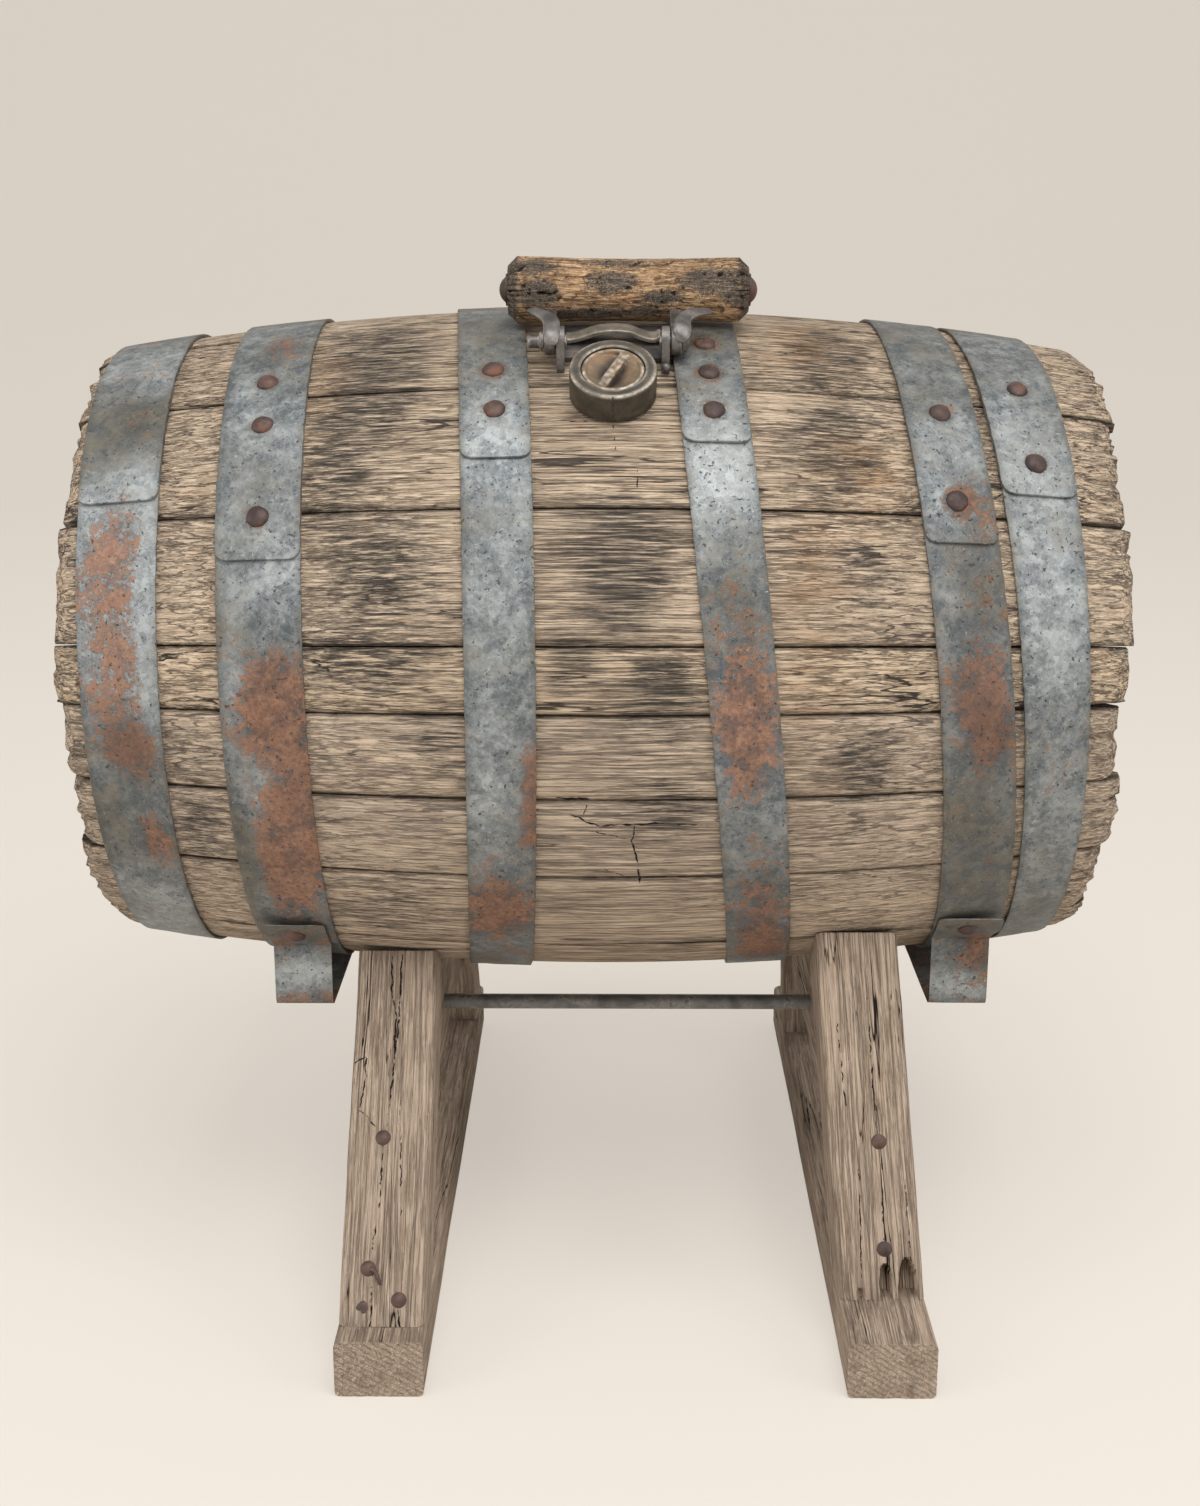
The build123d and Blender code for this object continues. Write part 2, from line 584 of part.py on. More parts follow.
rod_over = nut_washer_thickness + nut_thickness + rod_thread_over
rod_start = rod_ends[0] - rod_over
rod_length = rod_ends[1] + rod_over - rod_start
save("stand_tie_rod", along_x(tie_rod_radius, rod_length, Vector(rod_start, 0, tie_rod_height)))
nuts = []
for face, side in zip(rod_ends, (-1, 1)):
    start = Vector(face, 0, tie_rod_height)
    bore = along_x(tie_rod_radius + tie_rod_clearance, 2 * rod_over, start - Vector(side, 0, 0), side)
    washer = along_x(nut_washer_radius, nut_washer_thickness, start, side)
    nut_seat = start + Vector(side * nut_washer_thickness, 0, 0)
    nut_plane = Plane(origin=nut_seat, z_dir=(side, 0, 0), x_dir=(0, 1, 0))
    nut = extrude(nut_plane * RegularPolygon(nut_width / 2, 6, major_radius=False), amount=nut_thickness)
    nuts += [washer - bore, nut - bore]
save("stand_tie_rod_nuts", Compound(children=nuts))

print(len(nodes), "pieces")
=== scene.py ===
import math
import bmesh
import bpy
from mathutils import Matrix, Vector, noise


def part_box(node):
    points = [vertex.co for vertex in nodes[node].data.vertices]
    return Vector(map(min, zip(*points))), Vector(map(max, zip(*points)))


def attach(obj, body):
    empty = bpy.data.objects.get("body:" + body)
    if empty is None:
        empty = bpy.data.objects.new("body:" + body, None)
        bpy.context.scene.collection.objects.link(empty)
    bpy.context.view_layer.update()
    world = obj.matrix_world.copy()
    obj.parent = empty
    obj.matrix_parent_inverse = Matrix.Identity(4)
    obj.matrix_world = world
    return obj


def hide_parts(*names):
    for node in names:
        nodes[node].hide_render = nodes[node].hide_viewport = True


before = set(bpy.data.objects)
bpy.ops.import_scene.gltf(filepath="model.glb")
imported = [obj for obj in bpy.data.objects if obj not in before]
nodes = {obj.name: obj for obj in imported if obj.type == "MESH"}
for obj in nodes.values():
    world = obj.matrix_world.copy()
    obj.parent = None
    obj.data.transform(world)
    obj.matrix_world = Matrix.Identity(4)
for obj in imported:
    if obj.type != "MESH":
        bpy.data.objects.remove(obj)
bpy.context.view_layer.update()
mm = 0.001

# The barrel's own shape, as the construction has it
barrel = {
    "halfLength": 240 * mm,
    "bilgeRadius": 165 * mm,
    "chimeRadius": 144 * mm,
    "axisHeight": 302 * mm,
    "wall": 15 * mm,
}
sag = barrel["bilgeRadius"] - barrel["chimeRadius"]
arcRadius = (barrel["halfLength"] ** 2 + sag ** 2) / (2 * sag)


def outerRadius(x):
    return barrel["bilgeRadius"] - arcRadius + math.sqrt(arcRadius ** 2 - x * x)


def onBarrel(x, angle, standOff=0.0):
    # Point over the staves at an angle above horizontal on the front
    a = math.radians(angle)
    r = outerRadius(x) + standOff
    return Vector((x, -r * math.cos(a), barrel["axisHeight"] + r * math.sin(a)))


def angleOf(point):
    return math.degrees(math.atan2(point.z - barrel["axisHeight"], -point.y))


def smoothStep(low, high, value):
    t = min(max((value - low) / (high - low), 0.0), 1.0)
    return t * t * (3 - 2 * t)

def spread(start, end, cuts):
    # Evenly spaced values, both ends included
    return [start + (end - start) * step / cuts for step in range(cuts + 1)]


def arc(radius, start, end, cuts, centre=(0.0, 0.0)):
    # Points of an arc in a plane, angles in degrees
    turns = [math.radians(angle) for angle in spread(start, end, cuts)]
    return [(centre[0] + radius * math.cos(a), centre[1] + radius * math.sin(a)) for a in turns]


def turnApart(a, b):
    # Degrees from one angle to another, the short way round
    return (a - b + 180) % 360 - 180


def outwardAt(angle):
    a = math.radians(angle)
    return Vector((0, -math.cos(a), math.sin(a)))


def boxCentre(node):
    low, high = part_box(node)
    return (Vector(low) + Vector(high)) / 2


def noiseAt(x, y, z, shift=Vector()):
    return noise.noise(Vector((x, y, z)) + shift)


def vertsOf(items):
    return [item for item in items if isinstance(item, bmesh.types.BMVert)]


def bevelSharp(bm, offset, segments, sharp=1.0):
    bm.normal_update()
    rims = [edge for edge in bm.edges if edge.calc_face_angle(0) > sharp]
    bmesh.ops.bevel(bm, geom=rims, offset=offset, segments=segments, profile=0.5, affect="EDGES", material=-1)


def linkObject(name, data):
    holder = bpy.data.objects.new(name, data)
    bpy.context.scene.collection.objects.link(holder)
    return holder


def meshObject(name, bm, material):
    bmesh.ops.recalc_face_normals(bm, faces=bm.faces)
    mesh = bpy.data.meshes.new(name)
    bm.to_mesh(mesh)
    bm.free()
    mesh.polygons.foreach_set("use_smooth", [True] * len(mesh.polygons))
    mesh.materials.append(material)
    return linkObject(name, mesh)


def addPiece(name, bm, material, body, replaces=(), angle=40):
    # Turn a finished bmesh into a piece that rides on its body
    bmesh.ops.remove_doubles(bm, verts=bm.verts, dist=1e-6)
    piece = meshObject(name, bm, material)
    piece.data.set_sharp_from_angle(angle=math.radians(angle))
    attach(piece, body)
    if replaces:
        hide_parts(*replaces)


def dress(material, *names):
    # A node whose shape is right keeps it, and takes its finish here
    for name in names:
        for place in nodes[name].material_slots:
            place.material = material


class Field:
    # A value in a node tree; sums and products of fields become nodes
    def __init__(self, socket):
        self.socket, self.tree = socket, socket.id_data

    def maths(self, operation, other=0.5):
        return addNode(self.tree, "ShaderNodeMath", {0: self, 1: other}, operation=operation)[0]

    def __add__(self, other):
        return self.maths("ADD", other)

    def __sub__(self, other):
        return self.maths("SUBTRACT", other)

    def __rsub__(self, other):
        return addNode(self.tree, "ShaderNodeMath", {0: other, 1: self}, operation="SUBTRACT")[0]

    def __mul__(self, other):
        return self.maths("MULTIPLY", other)

    def __truediv__(self, other):
        return self.maths("DIVIDE", other)

    def __abs__(self):
        return self.maths("ABSOLUTE")

    def vector(self, operation, other, output=0):
        return addNode(self.tree, "ShaderNodeVectorMath", {0: self, 1: other}, operation=operation)[output]

    def remap(self, low, high, toLow=0.0, toHigh=1.0, **settings):
        inputs = {0: self, 1: low, 2: high, 3: toLow, 4: toHigh}
        return addNode(self.tree, "ShaderNodeMapRange", inputs, **settings)[0]

    def between(self, first, second):
        # The first colour where this value is 0, the second where it is 1
        return addNode(self.tree, "ShaderNodeMix", {0: self, 6: first, 7: second}, data_type="RGBA")[2]

    def times(self, tint):
        inputs = {0: 1.0, 6: self, 7: tint}
        return addNode(self.tree, "ShaderNodeMix", inputs, data_type="RGBA", blend_type="MULTIPLY")[2]

    def noise(self, scale, detail=3.0, roughness=0.5, distortion=0.0, output=0):
        inputs = {"Vector": self, "Scale": scale, "Detail": detail, "Roughness": roughness,
                  "Distortion": distortion}
        return addNode(self.tree, "ShaderNodeTexNoise", inputs)[output]


class Outputs:
    # What a node gives, by number or name
    def __init__(self, node):
        self.node = node

    def __getitem__(self, key):
        return Field(self.node.outputs[key])


def setInputs(node, inputs):
    # Link fields and set plain values; colours are written without their alpha
    for key, value in inputs.items():
        socket = node.inputs[key]
        if isinstance(value, Field):
            value.tree.links.new(value.socket, socket)
        else:
            socket.default_value = (*value, 1) if socket.type == "RGBA" else value


def addNode(tree, kind, inputs=None, **settings):
    node = tree.nodes.new(kind)
    for key, value in settings.items():
        setattr(node, key, value)
    setInputs(node, inputs or {})
    return Outputs(node)


def newGroup(name, inputs, outputs):
    # Inputs without a value are vectors
    tree = bpy.data.node_groups.new(name, "ShaderNodeTree")
    for label, value in inputs.items():
        kind = "NodeSocketVector" if value is None else "NodeSocketFloat"
        socket = tree.interface.new_socket(name=label, in_out="INPUT", socket_type=kind)
        if value is not None:
            socket.default_value = value
    for label in outputs:
        kind = "NodeSocketColor" if label == "Color" else "NodeSocketFloat"
        tree.interface.new_socket(name=label, in_out="OUTPUT", socket_type=kind)
    return tree, addNode(tree, "NodeGroupInput"), tree.nodes.new("NodeGroupOutput")


def ridge(value, width):
    # 1 where a noise crosses its middle, fading to 0 over a width
    return abs(value - 0.5).remap(0.0, width, 1.0, 0.0, interpolation_type="SMOOTHSTEP")


def buildGrainGroup():
    # Weathered grain that runs along the vector's X, in metres
    outputs = ["Fibre", "Long", "Short", "Splits", "Blotch", "Patch", "Speck"]
    inputs = {"Vector": None, "Along": 1.0, "Across": 1.0, "Splits": 1.0}
    tree, source, result = newGroup("weatheredGrain", inputs, outputs)
    place = source["Vector"]
    wander = place.vector("MULTIPLY", (7, 24, 24)).noise(1.0, output=1).vector("SUBTRACT", (0.5, 0.5, 0.5))
    bent = place.vector("ADD", wander.vector("MULTIPLY", (0.008, 0.0036, 0.0036)))

    def stretched(alongScale, acrossScale, detail, roughness):
        along, across = source["Along"] * alongScale, source["Across"] * acrossScale
        scales = addNode(tree, "ShaderNodeCombineXYZ", {0: along, 1: across, 2: across})
        return bent.vector("MULTIPLY", scales[0]).noise(1.0, detail, roughness)

    fade = stretched(16.0, 70.0, 3, 0.6).remap(0.42, 0.6)
    longLines = ridge(stretched(5.0, 230.0, 4, 0.55), 0.028) * fade.remap(0.0, 1.0, 0.6, 1.0)
    shortLines = ridge(stretched(24.0, 560.0, 3, 0.6), 0.06) * fade.remap(0.0, 1.0, 1.0, 0.35)
    splitWidth = stretched(9.0, 30.0, 2, 0.5).remap(0.48, 0.62, 0.0, 0.008) * source["Splits"]
    splits = (abs(stretched(2.6, 52.0, 5, 0.5) - 0.5) - splitWidth).remap(-0.002, 0.0008, 1.0, 0.0)
    fibre, blotch = stretched(26.0, 640.0, 6, 0.75), bent.noise(26.0, 4, 0.6)
    patch, speck = stretched(30.0, 80.0, 6, 0.75), stretched(150.0, 620.0, 3, 0.7)
    values = (fibre, longLines, shortLines, splits, blotch, patch, speck)
    setInputs(result, dict(zip(outputs, values)))
    return tree


def buildCrackGroup():
    # A ragged crack between two places, widest in its middle
    inputs = {"Vector": None, "Start": None, "End": None, "Width": 0.0006}
    tree, source, result = newGroup("crackLine", inputs, ["Mask"])
    place, start = source["Vector"], source["Start"]
    ragged = place.noise(260.0, output=1).vector("SUBTRACT", (0.5, 0.5, 0.5))
    ragged = place.vector("ADD", ragged.vector("MULTIPLY", (0.0024, 0.0024, 0.0024)))
    line, away = source["End"].vector("SUBTRACT", start), ragged.vector("SUBTRACT", start)
    share = away.vector("DOT_PRODUCT", line, "Value") / line.vector("DOT_PRODUCT", line, "Value")
    share = share.remap(0.0, 1.0)
    near = addNode(tree, "ShaderNodeVectorMath", {0: line, "Scale": share}, operation="SCALE")[0]
    width = source["Width"] * share.maths("PINGPONG", 0.5).remap(0.0, 0.3, 0.45, 1.0)
    distance = away.vector("DISTANCE", near, "Value")
    setInputs(result, {"Mask": (distance / width).remap(0.6, 1.15, 1.0, 0.0)})
    return tree


grainGroup = buildGrainGroup()
crackGroup = buildCrackGroup()


def crackMask(place, lines):
    # All the drawn cracks of a material together
    total = 0.0
    for points, width in lines:
        for start, end in zip(points, points[1:]):
            inputs = {"Vector": place, "Start": start, "End": end, "Width": width * mm}
            crack = addNode(place.tree, "ShaderNodeGroup", inputs, node_tree=crackGroup)
            total = crack["Mask"].maths("MAXIMUM", total)
    return total


def newMaterial(name):
    # A material, places on the object, and its shader
    material = bpy.data.materials.new(name)
    material.use_nodes = True
    tree = material.node_tree
    return material, addNode(tree, "ShaderNodeTexCoord")["Object"], tree.nodes["Principled BSDF"]


def pieceMarks(place, layer):
    # The red, green, blue and alpha of a colour that the piece itself carries
    marks = addNode(place.tree, "ShaderNodeVertexColor", layer_name=layer)
    parts = addNode(place.tree, "ShaderNodeSeparateColor", {0: marks[0]})
    return parts[0], parts[1], parts[2], marks[1]


def finishShader(shader, inputs, height, strength, distance):
    relief = {"Strength": strength, "Distance": distance, "Height": height}
    setInputs(shader, {**inputs, "Normal": addNode(height.tree, "ShaderNodeBump", relief)[0]})


def grainIn(vector, along=1.0, across=1.0, splits=1.0):
    inputs = {"Vector": vector, "Along": along, "Across": across, "Splits": splits}
    return addNode(vector.tree, "ShaderNodeGroup", inputs, node_tree=grainGroup)


def woodColour(grain, finish):
    # Pale ridges, darker hollows and fine dark lines
    base = grain["Fibre"].remap(0.41, 0.57).between(finish["mid"], finish["light"])
    base = base.times(grain["Blotch"].remap(0.3, 0.7, 0.82, 1.1))
    orange = grain["Patch"].remap(0.56, 0.72) * grain["Speck"].remap(0.45, 0.6)
    base = (orange * finish["warmth"]).between(base, finish["warm"])
    base = (grain["Short"] * (0.75 * finish["lines"])).between(base, finish["dark"])
    base = (grain["Long"] * (0.92 * finish["lines"])).between(base, finish["dark"])
    return grain["Splits"].between(base, (0.018, 0.013, 0.009))


def finishWood(place, shader, colour, grain, cracks):
    height = grain["Fibre"] * 1.3 - grain["Long"] - grain["Short"] * 0.55 - grain["Splits"] * 2.5
    if cracks:
        mask = crackMask(place, cracks)
        colour = mask.between(colour, (0.014, 0.010, 0.008))
        height = height - mask * 3.0
    inputs = {"Base Color": colour, "Roughness": 0.85, "Specular IOR Level": 0.22}
    finishShader(shader, inputs, height, 1.0, 0.0013)


# Cracks in the staves: places along the barrel and angles, then the half width in mm
staveCracks = [
    ([(-10.6, -16.2), (-6.2, -16.8), (-2.2, -17.9), (4.0, -18.4), (10.7, -18.3), (18.7, -18.2),
      (31.1, -18.1)], 0.5),
    ([(31.1, -18.1), (53.3, -18.6)], 0.28),
    ([(18.7, -18.3), (18.3, -20.4), (17.4, -21.4)], 0.35),
    ([(17.4, -21.4), (19.2, -23.4), (20.6, -26.2), (21.7, -31.0)], 0.55),
    ([(-1.8, -19.4), (16.5, -21.0)], 0.25),
    ([(4.0, -27.0), (20.8, -30.3)], 0.22),
    ([(-16.0, -13.5), (0.5, -13.7)], 1.0),
    ([(-2.1, -14.1), (-3.5, -16.6)], 0.3),
    ([(8.8, 47.7), (9.3, 44.6), (9.9, 41.9)], 0.35),
    ([(-10.1, 47.6), (1.9, 47.5)], 0.35),
    ([(19.6, 38.3), (19.5, 34.9)], 0.3),
]
staveFinish = {
    "light": (0.82, 0.645, 0.46),
    "mid": (0.46, 0.34, 0.235),
    "dark": (0.05, 0.034, 0.024),
    "lines": 1.0,
    "warm": (0.46, 0.24, 0.10),
    "warmth": 0.75,
    "pink": (0.68, 0.56, 0.47),
    "pinkShade": (0.34, 0.275, 0.225),
    "soot": (0.07, 0.062, 0.054),
}


def staveMaterial():
    # Dry silver and tan wood: the piece's own colours give each board's tone, soot, stains, and painted shade
    # along its seams and cracks
    material, place, shader = newMaterial("staveWood")
    grain = grainIn(place, 1.1, 1.25)
    fibre, patch = grain["Fibre"], grain["Patch"]
    tone, soot, stain, seamAndCrackShade = pieceMarks(place, "boardToneAndShade")
    board = fibre.remap(0.35, 0.62, 0.2, 1.0).between(staveFinish["pinkShade"], staveFinish["pink"])
    base = (tone * 0.5).between(woodColour(grain, staveFinish), board)
    sooty = (soot.remap(0.0, 1.0, 0.4, 0.98) - (patch * 0.9 + fibre * 0.45)).remap(-0.12, 0.14)
    base = (sooty * fibre.remap(0.6, 0.44, 0.16, 0.95)).between(base, staveFinish["soot"])
    base = (stain * patch.remap(0.4, 0.6)).between(base, staveFinish["warm"])
    # Painted shade: near black along the seams and in the cracks
    base = (seamAndCrackShade * grain["Speck"].remap(0.3, 0.6, 1.0, 0.6)).between(base, (0.03, 0.022, 0.016))
    cracks = [([onBarrel(x * mm, angle, -0.3 * mm) for x, angle in places], width)
              for places, width in staveCracks]
    finishWood(place, shader, base, grain, cracks)
    return material


def timberMaterial(name, finish, turn=None, along=1.0, across=1.0, splits=1.0, rings=0.0, charred=False,
                   cracks=()):
    # Sawn timber: grain follows the piece's own place, or the object's turned round
    material, place, shader = newMaterial(name)
    if turn is None:
        vector = addNode(place.tree, "ShaderNodeAttribute", attribute_name="grainPlace")["Vector"]
    else:
        vector = addNode(place.tree, "ShaderNodeMapping", {"Vector": place, "Rotation": turn})[0]
    grain = grainIn(vector, along, across, splits)
    base = woodColour(grain, finish)
    if rings:
        # The sawn ends show slanting yearly rings instead of long grain
        flat = vector.vector("DOT_PRODUCT", (0.0, 0.62, 1.0), "Value")
        wave = ((flat + grain["Blotch"] * 0.008) * 2100.0).maths("SINE")
        wood = (wave.remap(0.0, 1.0) * rings).between(finish["light"], finish["mid"])
        wood = wood.times(grain["Speck"].remap(0.36, 0.6, 0.8, 1.1))
        wood = grain["Patch"].remap(0.54, 0.75, 0.0, 0.6).between(wood, finish["grime"])
        sawn = addNode(place.tree, "ShaderNodeAttribute", attribute_name="sawnEnd")["Fac"]
        base = sawn.between(base, wood)
    base = grain["Patch"].remap(0.52, 0.7, 0.0, 0.6).between(base, finish["grime"])
    if charred:
        # Grey-black crust in broken patches, and pits
        crusty, pitted, *_ = pieceMarks(place, "gripMarks")
        flake, fleck = vector.noise(330.0, 6, 0.8, 1.6), vector.noise(760.0, 3, 0.75, 2.2)
        crust = fleck.remap(0.40, 0.60).between((0.03, 0.027, 0.026), (0.24, 0.205, 0.17))
        base = (crusty + flake * 1.9).remap(1.10, 1.34, 0.0, 0.9).between(base, crust)
        base = fleck.remap(0.62, 0.72, 0.0, 0.6).between(base, finish["light"])
        base = fleck.remap(0.36, 0.28, 0.0, 0.75).between(base, finish["dark"])
        base = pitted.between(base, (0.02, 0.014, 0.01))
    finishWood(place, shader, base, grain, cracks)
    return material


hoopFinish = {
    "zinc": (0.105, 0.12, 0.13),
    "bright": (0.36, 0.385, 0.39),
    "grime": (0.062, 0.06, 0.052),
    "olive": (0.135, 0.118, 0.088),
    "orange": (0.36, 0.185, 0.105),
    "rust": (0.205, 0.09, 0.052),
    "brown": (0.095, 0.052, 0.038),
    "chalk": (0.56, 0.555, 0.52),
}


def zincMaterial():
    # Old galvanised steel; the pieces' own colours give rust, grime (with painted shade along the hoops'
    # edges), brown rust and pale bloom
    material, place, shader = newMaterial("hoopZinc")
    rust, grime, brown, pale = pieceMarks(place, "hoopWear")
    broad, middle = place.noise(26.0, 5, 0.62), place.noise(95.0, 6, 0.75)
    small, fleck = place.noise(420.0, 4, 0.75), place.noise(620.0, 5, 0.8, 1.2)
    cells = addNode(place.tree, "ShaderNodeTexVoronoi", {"Vector": place, "Scale": 330.0})["Color"]
    spangle = addNode(place.tree, "ShaderNodeSeparateColor", {0: cells})[0]
    bright = middle.remap(0.42, 0.66) + pale * 1.2 + (small - 0.5) * 1.3
    zinc = bright.between(hoopFinish["zinc"], hoopFinish["bright"]).times(spangle.remap(0.0, 1.0, 0.78, 1.16))
    dirty = middle.remap(0.4, 0.62).between(hoopFinish["grime"], hoopFinish["olive"])
    sway = (broad - 0.5) * 1.6 + (middle - 0.5) * 1.4
    # Grime, and the painted shade along the hoops' edges
    grimeAndEdgeShadeMask = (grime + sway).remap(0.15, 0.9, 0.0, 0.95)
    # Pale crystals: many on bloom, few in the grime
    chalk = (fleck + (pale * 0.06 + broad * 0.08)).remap(0.63, 0.74) * grimeAndEdgeShadeMask.remap(0.2, 1.0, 0.7, 0.4)
    base = chalk.between(grimeAndEdgeShadeMask.between(zinc, dirty), hoopFinish["chalk"])
    edge = middle * 0.75 + small * 0.8 + broad * 0.45
    rustMask = (rust * 0.72 + edge - 1.43).remap(-0.045, 0.05)
    rusty = small.remap(0.38, 0.66).between(hoopFinish["rust"], hoopFinish["orange"])
    rusty = middle.remap(0.54, 0.40, 0.0, 0.75).between(rusty, hoopFinish["brown"])
    rusty = fleck.remap(0.58, 0.68, 0.0, 0.55).between(rusty, hoopFinish["bright"])
    rusty = (brown * 0.85).between(rusty, hoopFinish["brown"])
    pits = place.noise(560.0, 2, 0.5).remap(0.65, 0.71)
    base = (pits * 0.8).between((rustMask * 0.88).between(base, rusty), (0.03, 0.026, 0.022))
    metal = (1.0 - rustMask.maths("MAXIMUM", grimeAndEdgeShadeMask)) * 0.45
    rough = middle.remap(0.3, 0.7, 0.4, 0.6) + rustMask * 0.34 + grimeAndEdgeShadeMask * 0.12
    height = middle * 0.5 + small * 0.45 + rustMask * 0.3 - pits * 0.5
    finishShader(shader, {"Base Color": base, "Metallic": metal, "Roughness": rough}, height, 0.7, 0.0009)
    return material


# Cast, forged or rusty metal: light, dark and rust colours, rust amount, metallic, roughness and scale
metals = {
    "rustyRivet": ((0.125, 0.072, 0.058), (0.042, 0.028, 0.027), (0.17, 0.07, 0.042), 0.3, 0.3, 0.5, 300),
    "forgedIron": ((0.25, 0.235, 0.225), (0.085, 0.078, 0.074), (0.15, 0.085, 0.06), 0.3, 0.6, 0.4, 260),
    "wornStrap": ((0.50, 0.435, 0.35), (0.15, 0.13, 0.11), (0.17, 0.12, 0.085), 0.2, 0.5, 0.4, 200),
    "pewterRing": ((0.105, 0.09, 0.068), (0.045, 0.038, 0.029), (0.12, 0.088, 0.058), 0.3, 0.35, 0.45, 260),
    "bronzeDisc": ((0.245, 0.175, 0.11), (0.125, 0.09, 0.058), (0.25, 0.13, 0.06), 0.35, 0.4, 0.42, 240),
    "darkRod": ((0.34, 0.34, 0.33), (0.14, 0.138, 0.13), (0.15, 0.10, 0.07), 0.25, 0.35, 0.42, 200),
    "oldRubber": ((0.05, 0.05, 0.05), (0.02, 0.02, 0.02), (0.06, 0.05, 0.04), 0.1, 0.0, 0.8, 200),
}


def metalMaterial(name):
    # A piece's own vertex colours give bright rubbed edges, and dark places that are partly painted shade in
    # recesses and partly darker metal in dents and cracks
    light, dark, rust, rustAmount, metallic, roughness, scale = metals[name]
    material, place, shader = newMaterial(name)
    broad, small = place.noise(scale * 0.35, 5, 0.6, 0.5), place.noise(scale * 3, 4, 0.7)
    base = broad.remap(0.35, 0.65).between(dark, light)
    base = small.remap(0.4, 0.7, 0.0, 0.4).between(base, dark)
    level = broad * 0.6 + small * 0.4
    rustMask = level.remap(0.62 - 0.25 * rustAmount, 0.7 - 0.25 * rustAmount)
    rubbed, corner, *_ = pieceMarks(place, "wearAndShade")
    rubbed = rubbed * small.remap(0.36, 0.5, 0.25, 1.0)
    base = rubbed.between(rustMask.between(base, rust), (0.62, 0.56, 0.47))
    # Dark: painted shade in the bung's bore, at the ring's foot and in the disc's scoops, and darker metal in
    # dents and cracks
    base = corner.between(base, (0.022, 0.018, 0.015))
    inputs = {"Base Color": base, "Metallic": (1.0 - rustMask) * metallic,
              "Roughness": rustMask * 0.3 + roughness}
    finishShader(shader, inputs, broad + small * 0.5, 0.5, 0.0007)
    return material


quarterTurn = math.radians(90)
standFinish = {
    "light": (0.63, 0.50, 0.39),
    "mid": (0.415, 0.31, 0.23),
    "dark": (0.085, 0.06, 0.043),
    "lines": 0.42,
    "warm": (0.42, 0.25, 0.13),
    "warmth": 0.6,
    "grime": (0.23, 0.175, 0.125),
}
gripFinish = {
    "light": (0.80, 0.53, 0.31),
    "mid": (0.43, 0.24, 0.125),
    "dark": (0.04, 0.027, 0.018),
    "lines": 0.7,
    "warm": (0.62, 0.30, 0.11),
    "warmth": 0.7,
    "grime": (0.20, 0.125, 0.075),
}
woodOfStaves = staveMaterial()
woodOfHeads = timberMaterial("headWood", standFinish, (0, 0, quarterTurn))
metalOfHoops = zincMaterial()
metal = {name: metalMaterial(name) for name in metals}
sleeperWood = timberMaterial("sleeperWood", standFinish, across=1.3, splits=1.0, rings=0.75)
gripWood = timberMaterial("gripWood", gripFinish, (0, 0, 0), 4.2, 1.15, 0.5, charred=True)
print("materials ready")

# Staves: widths in degrees from the seam behind the bung, down the front and round
staves = {
    "widths": [23.5, 21.5, 10.5, 14, 15.5, 21.5, 19, 22, 24, 18, 21, 23, 17, 22, 20, 24, 20, 23.5],
    "firstSeam": 55.5,
    "leftShorts": [4, 1, 0, 3, 5, 2, 4, 1, 3, 0, 4, 2, 3, 1, 5, 2, 0, 3],
    "rightShorts": [3, 0, 2, 5, 1, 4, 2, 5, 0, 3, 1, 4, 2, 5, 0, 3, 4, 1],
    "tones": [0.35, 0.5, 0.2, 0.75, 0.9, 0.8, 0.6, 0.4, 0.3, 0.5, 0.7, 0.4, 0.2, 0.6, 0.5, 0.3, 0.45, 0.3],
    "alongCuts": 150,
    "cutDegrees": 0.85,
    "chimeFace": 7 * mm,
    "innerCuts": 14,
    "chimeBevel": 14 * mm,
    "seamGap": 0.35 * mm,
    "seamRound": 1.1 * mm,
    "grooveDepth": 0.26 * mm,
    "endWear": 3.0 * mm,
    "endRag": 1.4 * mm,
    "crackReach": 24 * mm,
    "crackDepth": 2.2 * mm,
    "seamRows": [0.0, 0.7 * mm, 1.7 * mm],
    "endSoot": 0.32,
    "sootReach": 30 * mm,
}
# Dark patches: place along the barrel, angle, half sizes (mm and degrees), strength
sootPatches = [
    (-100, 62, 26, 20, 1.0), (-112, 40, 18, 22, 0.8), (-95, 22, 30, 14, 0.7), (-60, -4, 30, 8, 0.6),
    (12, 24, 26, 13, 0.9), (30, 3, 24, 8, 0.8), (-8, 9, 14, 7, 0.7), (-100, 8, 34, 6, 0.8),
    (108, 66, 20, 12, 0.9), (106, 44, 22, 10, 0.9), (120, 20, 20, 12, 0.5), (118, -10, 22, 10, 0.7),
    (30, -15, 20, 8, 0.7), (-176, -20, 14, 14, 0.6), (-180, 30, 12, 10, 0.4), (-95, -40, 40, 12, 0.5),
    (0, 120, 60, 30, 0.7), (90, 160, 40, 30, 0.7), (-110, 200, 50, 24, 0.7), (60, 240, 60, 26, 0.6),
]
# Rust that has run into the wood
stainPatches = [(-130, 58, 14, 10, 0.5), (100, 70, 18, 10, 0.6), (120, 38, 20, 8, 0.5), (96, 12, 12, 22, 0.4)]


def patchStrength(patches, x, angle):
    total = 0.0
    for px, pa, halfX, halfA, strength in patches:
        reach = ((x / mm - px) / halfX) ** 2 + (turnApart(angle, pa) / halfA) ** 2
        total = max(total, strength * math.exp(-0.9 * reach))
    return total


# Wide dry gaps: board above the seam, end of the barrel, width and how far it reaches in
openSeams = [(2, 1, 2.2 * mm, 46 * mm), (0, 1, 1.6 * mm, 40 * mm)]


def staveGap(number, side, x):
    # How far a board's edge stands back at a dry seam; side 1 is its lower edge
    total = 0.0
    for upper, end, width, reach in openSeams:
        board = upper if side > 0 else upper + 1
        if board == number:
            distance = barrel["halfLength"] - x * end
            total += width / 2 * (1 - smoothStep(0.2 * reach, reach, distance))
    return total


